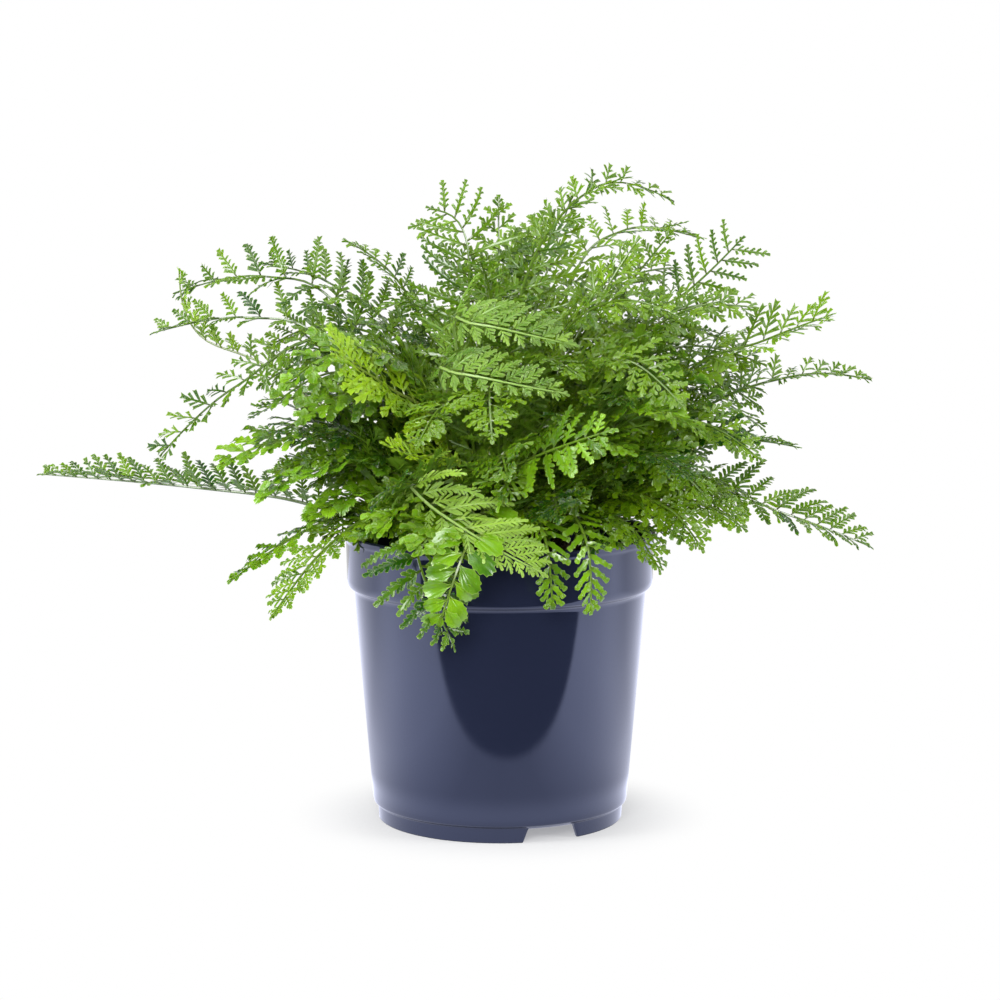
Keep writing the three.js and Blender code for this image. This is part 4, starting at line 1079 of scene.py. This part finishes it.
# Young coiled fronds: five croziers in the heart of the plant, soft, scaly and
# pale, each still rolled up like a watch spring with its leaflets inside the roll.
CROZIERS = [  # radius at the crown, azimuth, height, size of the coil
    (9, 200, 62, 7.5),
    (13, 262, 44, 6.0),
    (16, 318, 50, 6.5),
    (12, 40, 66, 8.0),
    (20, 118, 40, 5.5),
]
COIL_TURNS = 2.6
COIL_TIGHTNESS = 0.13
COIL_SIDES = 7
NECK_STEPS = 16
COIL_SCALES = 90

draw = np.random.default_rng(61)
coils = []
for ring, azimuth, height, size in CROZIERS:
    tissue = Tissue()
    outward = spot(math.radians(azimuth))
    across = np.cross(outward, UP)
    foot = outward * ring + UP * (crown_height(ring) - STALK_SINK)
    neck = foot + np.linspace(0, 1, NECK_STEPS)[:, None] * (UP * height + 0.16 * height * outward)
    hub = neck[-1] + outward * size
    wind = np.linspace(0, COIL_TURNS * FULL_TURN, 64)[:, None]
    spiral = size * np.exp(-COIL_TIGHTNESS * wind)
    roll = hub - outward * (spiral * np.cos(wind)) + UP * (spiral * np.sin(wind))
    path = np.vstack([neck, roll[2:]])
    ahead = unit(np.gradient(path, axis=0))
    inside = np.cross(ahead, across)
    share = np.linspace(0, 1, len(path))
    girth = np.interp(share, [0, 0.2, 0.6, 1], [1.25, 1.2, 1.0, 0.45])[:, None]
    turns = np.linspace(0, FULL_TURN, COIL_SIDES, endpoint=False)
    rings = [path + girth * (math.cos(a) * inside + math.sin(a) * across) for a in turns]
    place = values(0.2 + 0.8 * share[:, None], np.zeros(COIL_SIDES), 0)
    add_tube(tissue, np.stack(rings, 1), place, (0.5, 0, 0.8))
    for i in range(NECK_STEPS + 2, len(path), 2):
        for side in (1, -1):
            inward = unit(hub - path[i])
            out = unit(across * side + 0.5 * inward)
            young = 1.2 - share[i]
            tuft = blade(path[i], out, ahead[i], inward, 2.4 * young, 1.5 * young, 0.6)
            tissue.add(tuft, BLADE_FACES, (0.4, 0.4, 0.4), (0.6, 0, 0))
    for _ in range(COIL_SCALES):
        i = int(draw.uniform(0, 1) ** 1.5 * (len(path) - 2))
        a = draw.uniform(0, FULL_TURN)
        outer = math.cos(a) * inside[i] + math.sin(a) * across
        hair = unit(ahead[i] + 0.8 * outer)
        foot = path[i] + outer * girth[i]
        scale = blade(foot, hair, np.cross(hair, outer), outer, draw.uniform(1.2, 2.8), 0.45, 0.3)
        tissue.add(scale, BLADE_FACES, tone=SCALE_TONE)
    coils.append(tissue)
add_frond_piece("young_croziers", coils, "young")

# Floor: a white paper sheet under the pot. It is lit as the photograph's backdrop
# is, but for the pot's soft shadow, so it fades into plain light away from it.
SHADOW_RADII = (0.040, 0.100)
SHADOW_LIGHT = 0.3


def add_sheet(name, low, high, z, finish):
    """A flat sheet between two corners."""
    mesh = bpy.data.meshes.new(name)
    corners = [low, (high[0], low[1]), high, (low[0], high[1])]
    mesh.from_pydata([(x, y, z) for x, y in corners], [], [(0, 1, 2, 3)])
    mesh.materials.append(finish)
    return add_object(name, mesh)


floor_finish, board, shader = new_finish("floor_sheet", (0.45, 0.45, 0.45), 0.7)
board.fill(shader, Specular_IOR_Level=0.2)
away = board.distance(board.add("TexCoord").outputs["Object"], POT_AXIS)
veil = board.ramp(away, *SHADOW_RADII, SHADOW_LIGHT)
light = board.add("Emission").outputs["Emission"]
fade = board.blend(veil, shader.outputs["BSDF"], light)
board.fill(board.nodes["Material Output"], Surface=fade)
floor = add_sheet("floor", (-4, -4), (4, 4), 0, floor_finish)

# Gloss card: a glowing white sheet laid in front of the pot, just above the floor and
# seen only by the gloss of the pot: a painted reflection. It is bright at both sides and
# dark in front of a curved edge, which paints the dark tongue in the middle of the pot.
CARD_GLOW = 4.1
CARD_TINT = (0.78, 0.81, 1, 1)
CARD_EDGE = (-0.147, -0.135)  # how far before the axis the bright part ends
CARD_CURVE = 0.48
CARD_MIDDLE = 0.100
CARD_FOOT = (0.085, 0.108)  # radii between which the brightness round the foot ends
CARD_FOOT_GLOW = 0.22
CARD_SHADE = (0.056, 0.088)  # radii between which the pot's own shade ends
CARD_SHADE_LEVEL = 0.74
CARD_BACK = (-0.05, 0.12)  # where it grows darker behind the pot
CARD_BACK_LOSS = 0.42
CARD_ENDS = [0.30, 0.90]  # level on the middle line, and a metre aside
CARD_STOPS = [(0.05, 0.33), (0.14, 0.68), (0.24, 0.80), (0.34, 0.76), (0.55, 0.78)]

painted_reflection_finish, board, _ = new_finish("painted_reflection_card", (0, 0, 0), 1)
where = board.add("TexCoord").outputs["Object"]
aside, front, _ = board.add("SeparateXYZ", Vector=where).outputs
away = board.distance(where, POT_AXIS)
from_middle = board.math("SUBTRACT", aside, CARD_MIDDLE + POT_AXIS[0])
curve = board.times(board.times(from_middle, from_middle), CARD_CURVE)
bright = board.ramp(board.math("ADD", front, curve), *(edge + POT_AXIS[1] for edge in CARD_EDGE))
off_axis = board.math("ABSOLUTE", board.math("SUBTRACT", aside, POT_AXIS[0]))
sides = board.add("ValToRGB", Fac=off_axis)
stops = sides.color_ramp.elements
for stop, value in zip(list(stops), CARD_ENDS):
    stop.color = (value, value, value, 1)
for place, value in CARD_STOPS:
    stops.new(place).color = (value, value, value, 1)
# Painted light and shade in the reflection: brighter round the foot, darker under and behind the
# pot.
by_foot = board.math("SUBTRACT", 1.0, board.ramp(away, *CARD_FOOT))
level = board.math("ADD", sides.outputs["Color"], board.times(by_foot, CARD_FOOT_GLOW))
level = board.times(level, CARD_GLOW)
level = board.times(level, board.ramp(away, *CARD_SHADE, CARD_SHADE_LEVEL))
behind = board.times(board.ramp(front, *CARD_BACK), CARD_BACK_LOSS)
level = board.times(level, board.math("SUBTRACT", 1.0, behind))
glow = board.add("Emission", Color=CARD_TINT, Strength=board.times(bright, level))
board.fill(board.nodes["Material Output"], Surface=glow.outputs["Emission"])
card = add_sheet("painted_reflection_card", (-1.6, -1.6), (1.6, 0.6), 0.0004, painted_reflection_finish)
card.visible_camera = False
card.visible_diffuse = False
card.visible_shadow = False
card.visible_transmission = False

# Studio: soft lights from above, the front, both sides and a little from behind,
# and a white backdrop that only the camera sees at its full brightness.
HEART = Vector((0.018, -0.02, 0.17))
LIGHTS = [  # name, place, width and height, power
    ("top_light", (0.0, 0.0, 1.4), (1.0, 1.0), 13),
    ("front_light", (-0.2, -1.6, 0.70), (0.8, 0.6), 32),
    ("left_light", (-1.3, -0.5, 0.8), (0.6, 1.0), 36),
    ("right_light", (1.4, -0.4, 0.7), (0.6, 1.0), 26),
    ("back_light", (0.2, 1.3, 0.9), (1.0, 0.6), 4),
]
AMBIENT = 0.08
WHITE = (1, 1, 1, 1)

for name, place, size, power in LIGHTS:
    light = add_object(name, bpy.data.lights.new(name, "AREA"))
    light.data.shape = "RECTANGLE"
    light.data.size, light.data.size_y = size
    light.data.energy = power
    light.location = place
    light.rotation_euler = (HEART - Vector(place)).to_track_quat("-Z", "Y").to_euler()

world = bpy.data.worlds.new("studio")
bpy.context.scene.world = world
world.use_nodes = True
board = Board(world.node_tree)
ambient = board.nodes["Background"]
board.fill(ambient, Color=WHITE, Strength=AMBIENT)
backdrop = board.add("Background", Color=WHITE, Strength=1.0)
seen = board.add("LightPath").outputs["Is Camera Ray"]
choice = board.blend(seen, ambient.outputs["Background"], backdrop.outputs["Background"])
board.fill(board.nodes["World Output"], Surface=choice)
bpy.context.scene.view_settings.view_transform = "Standard"
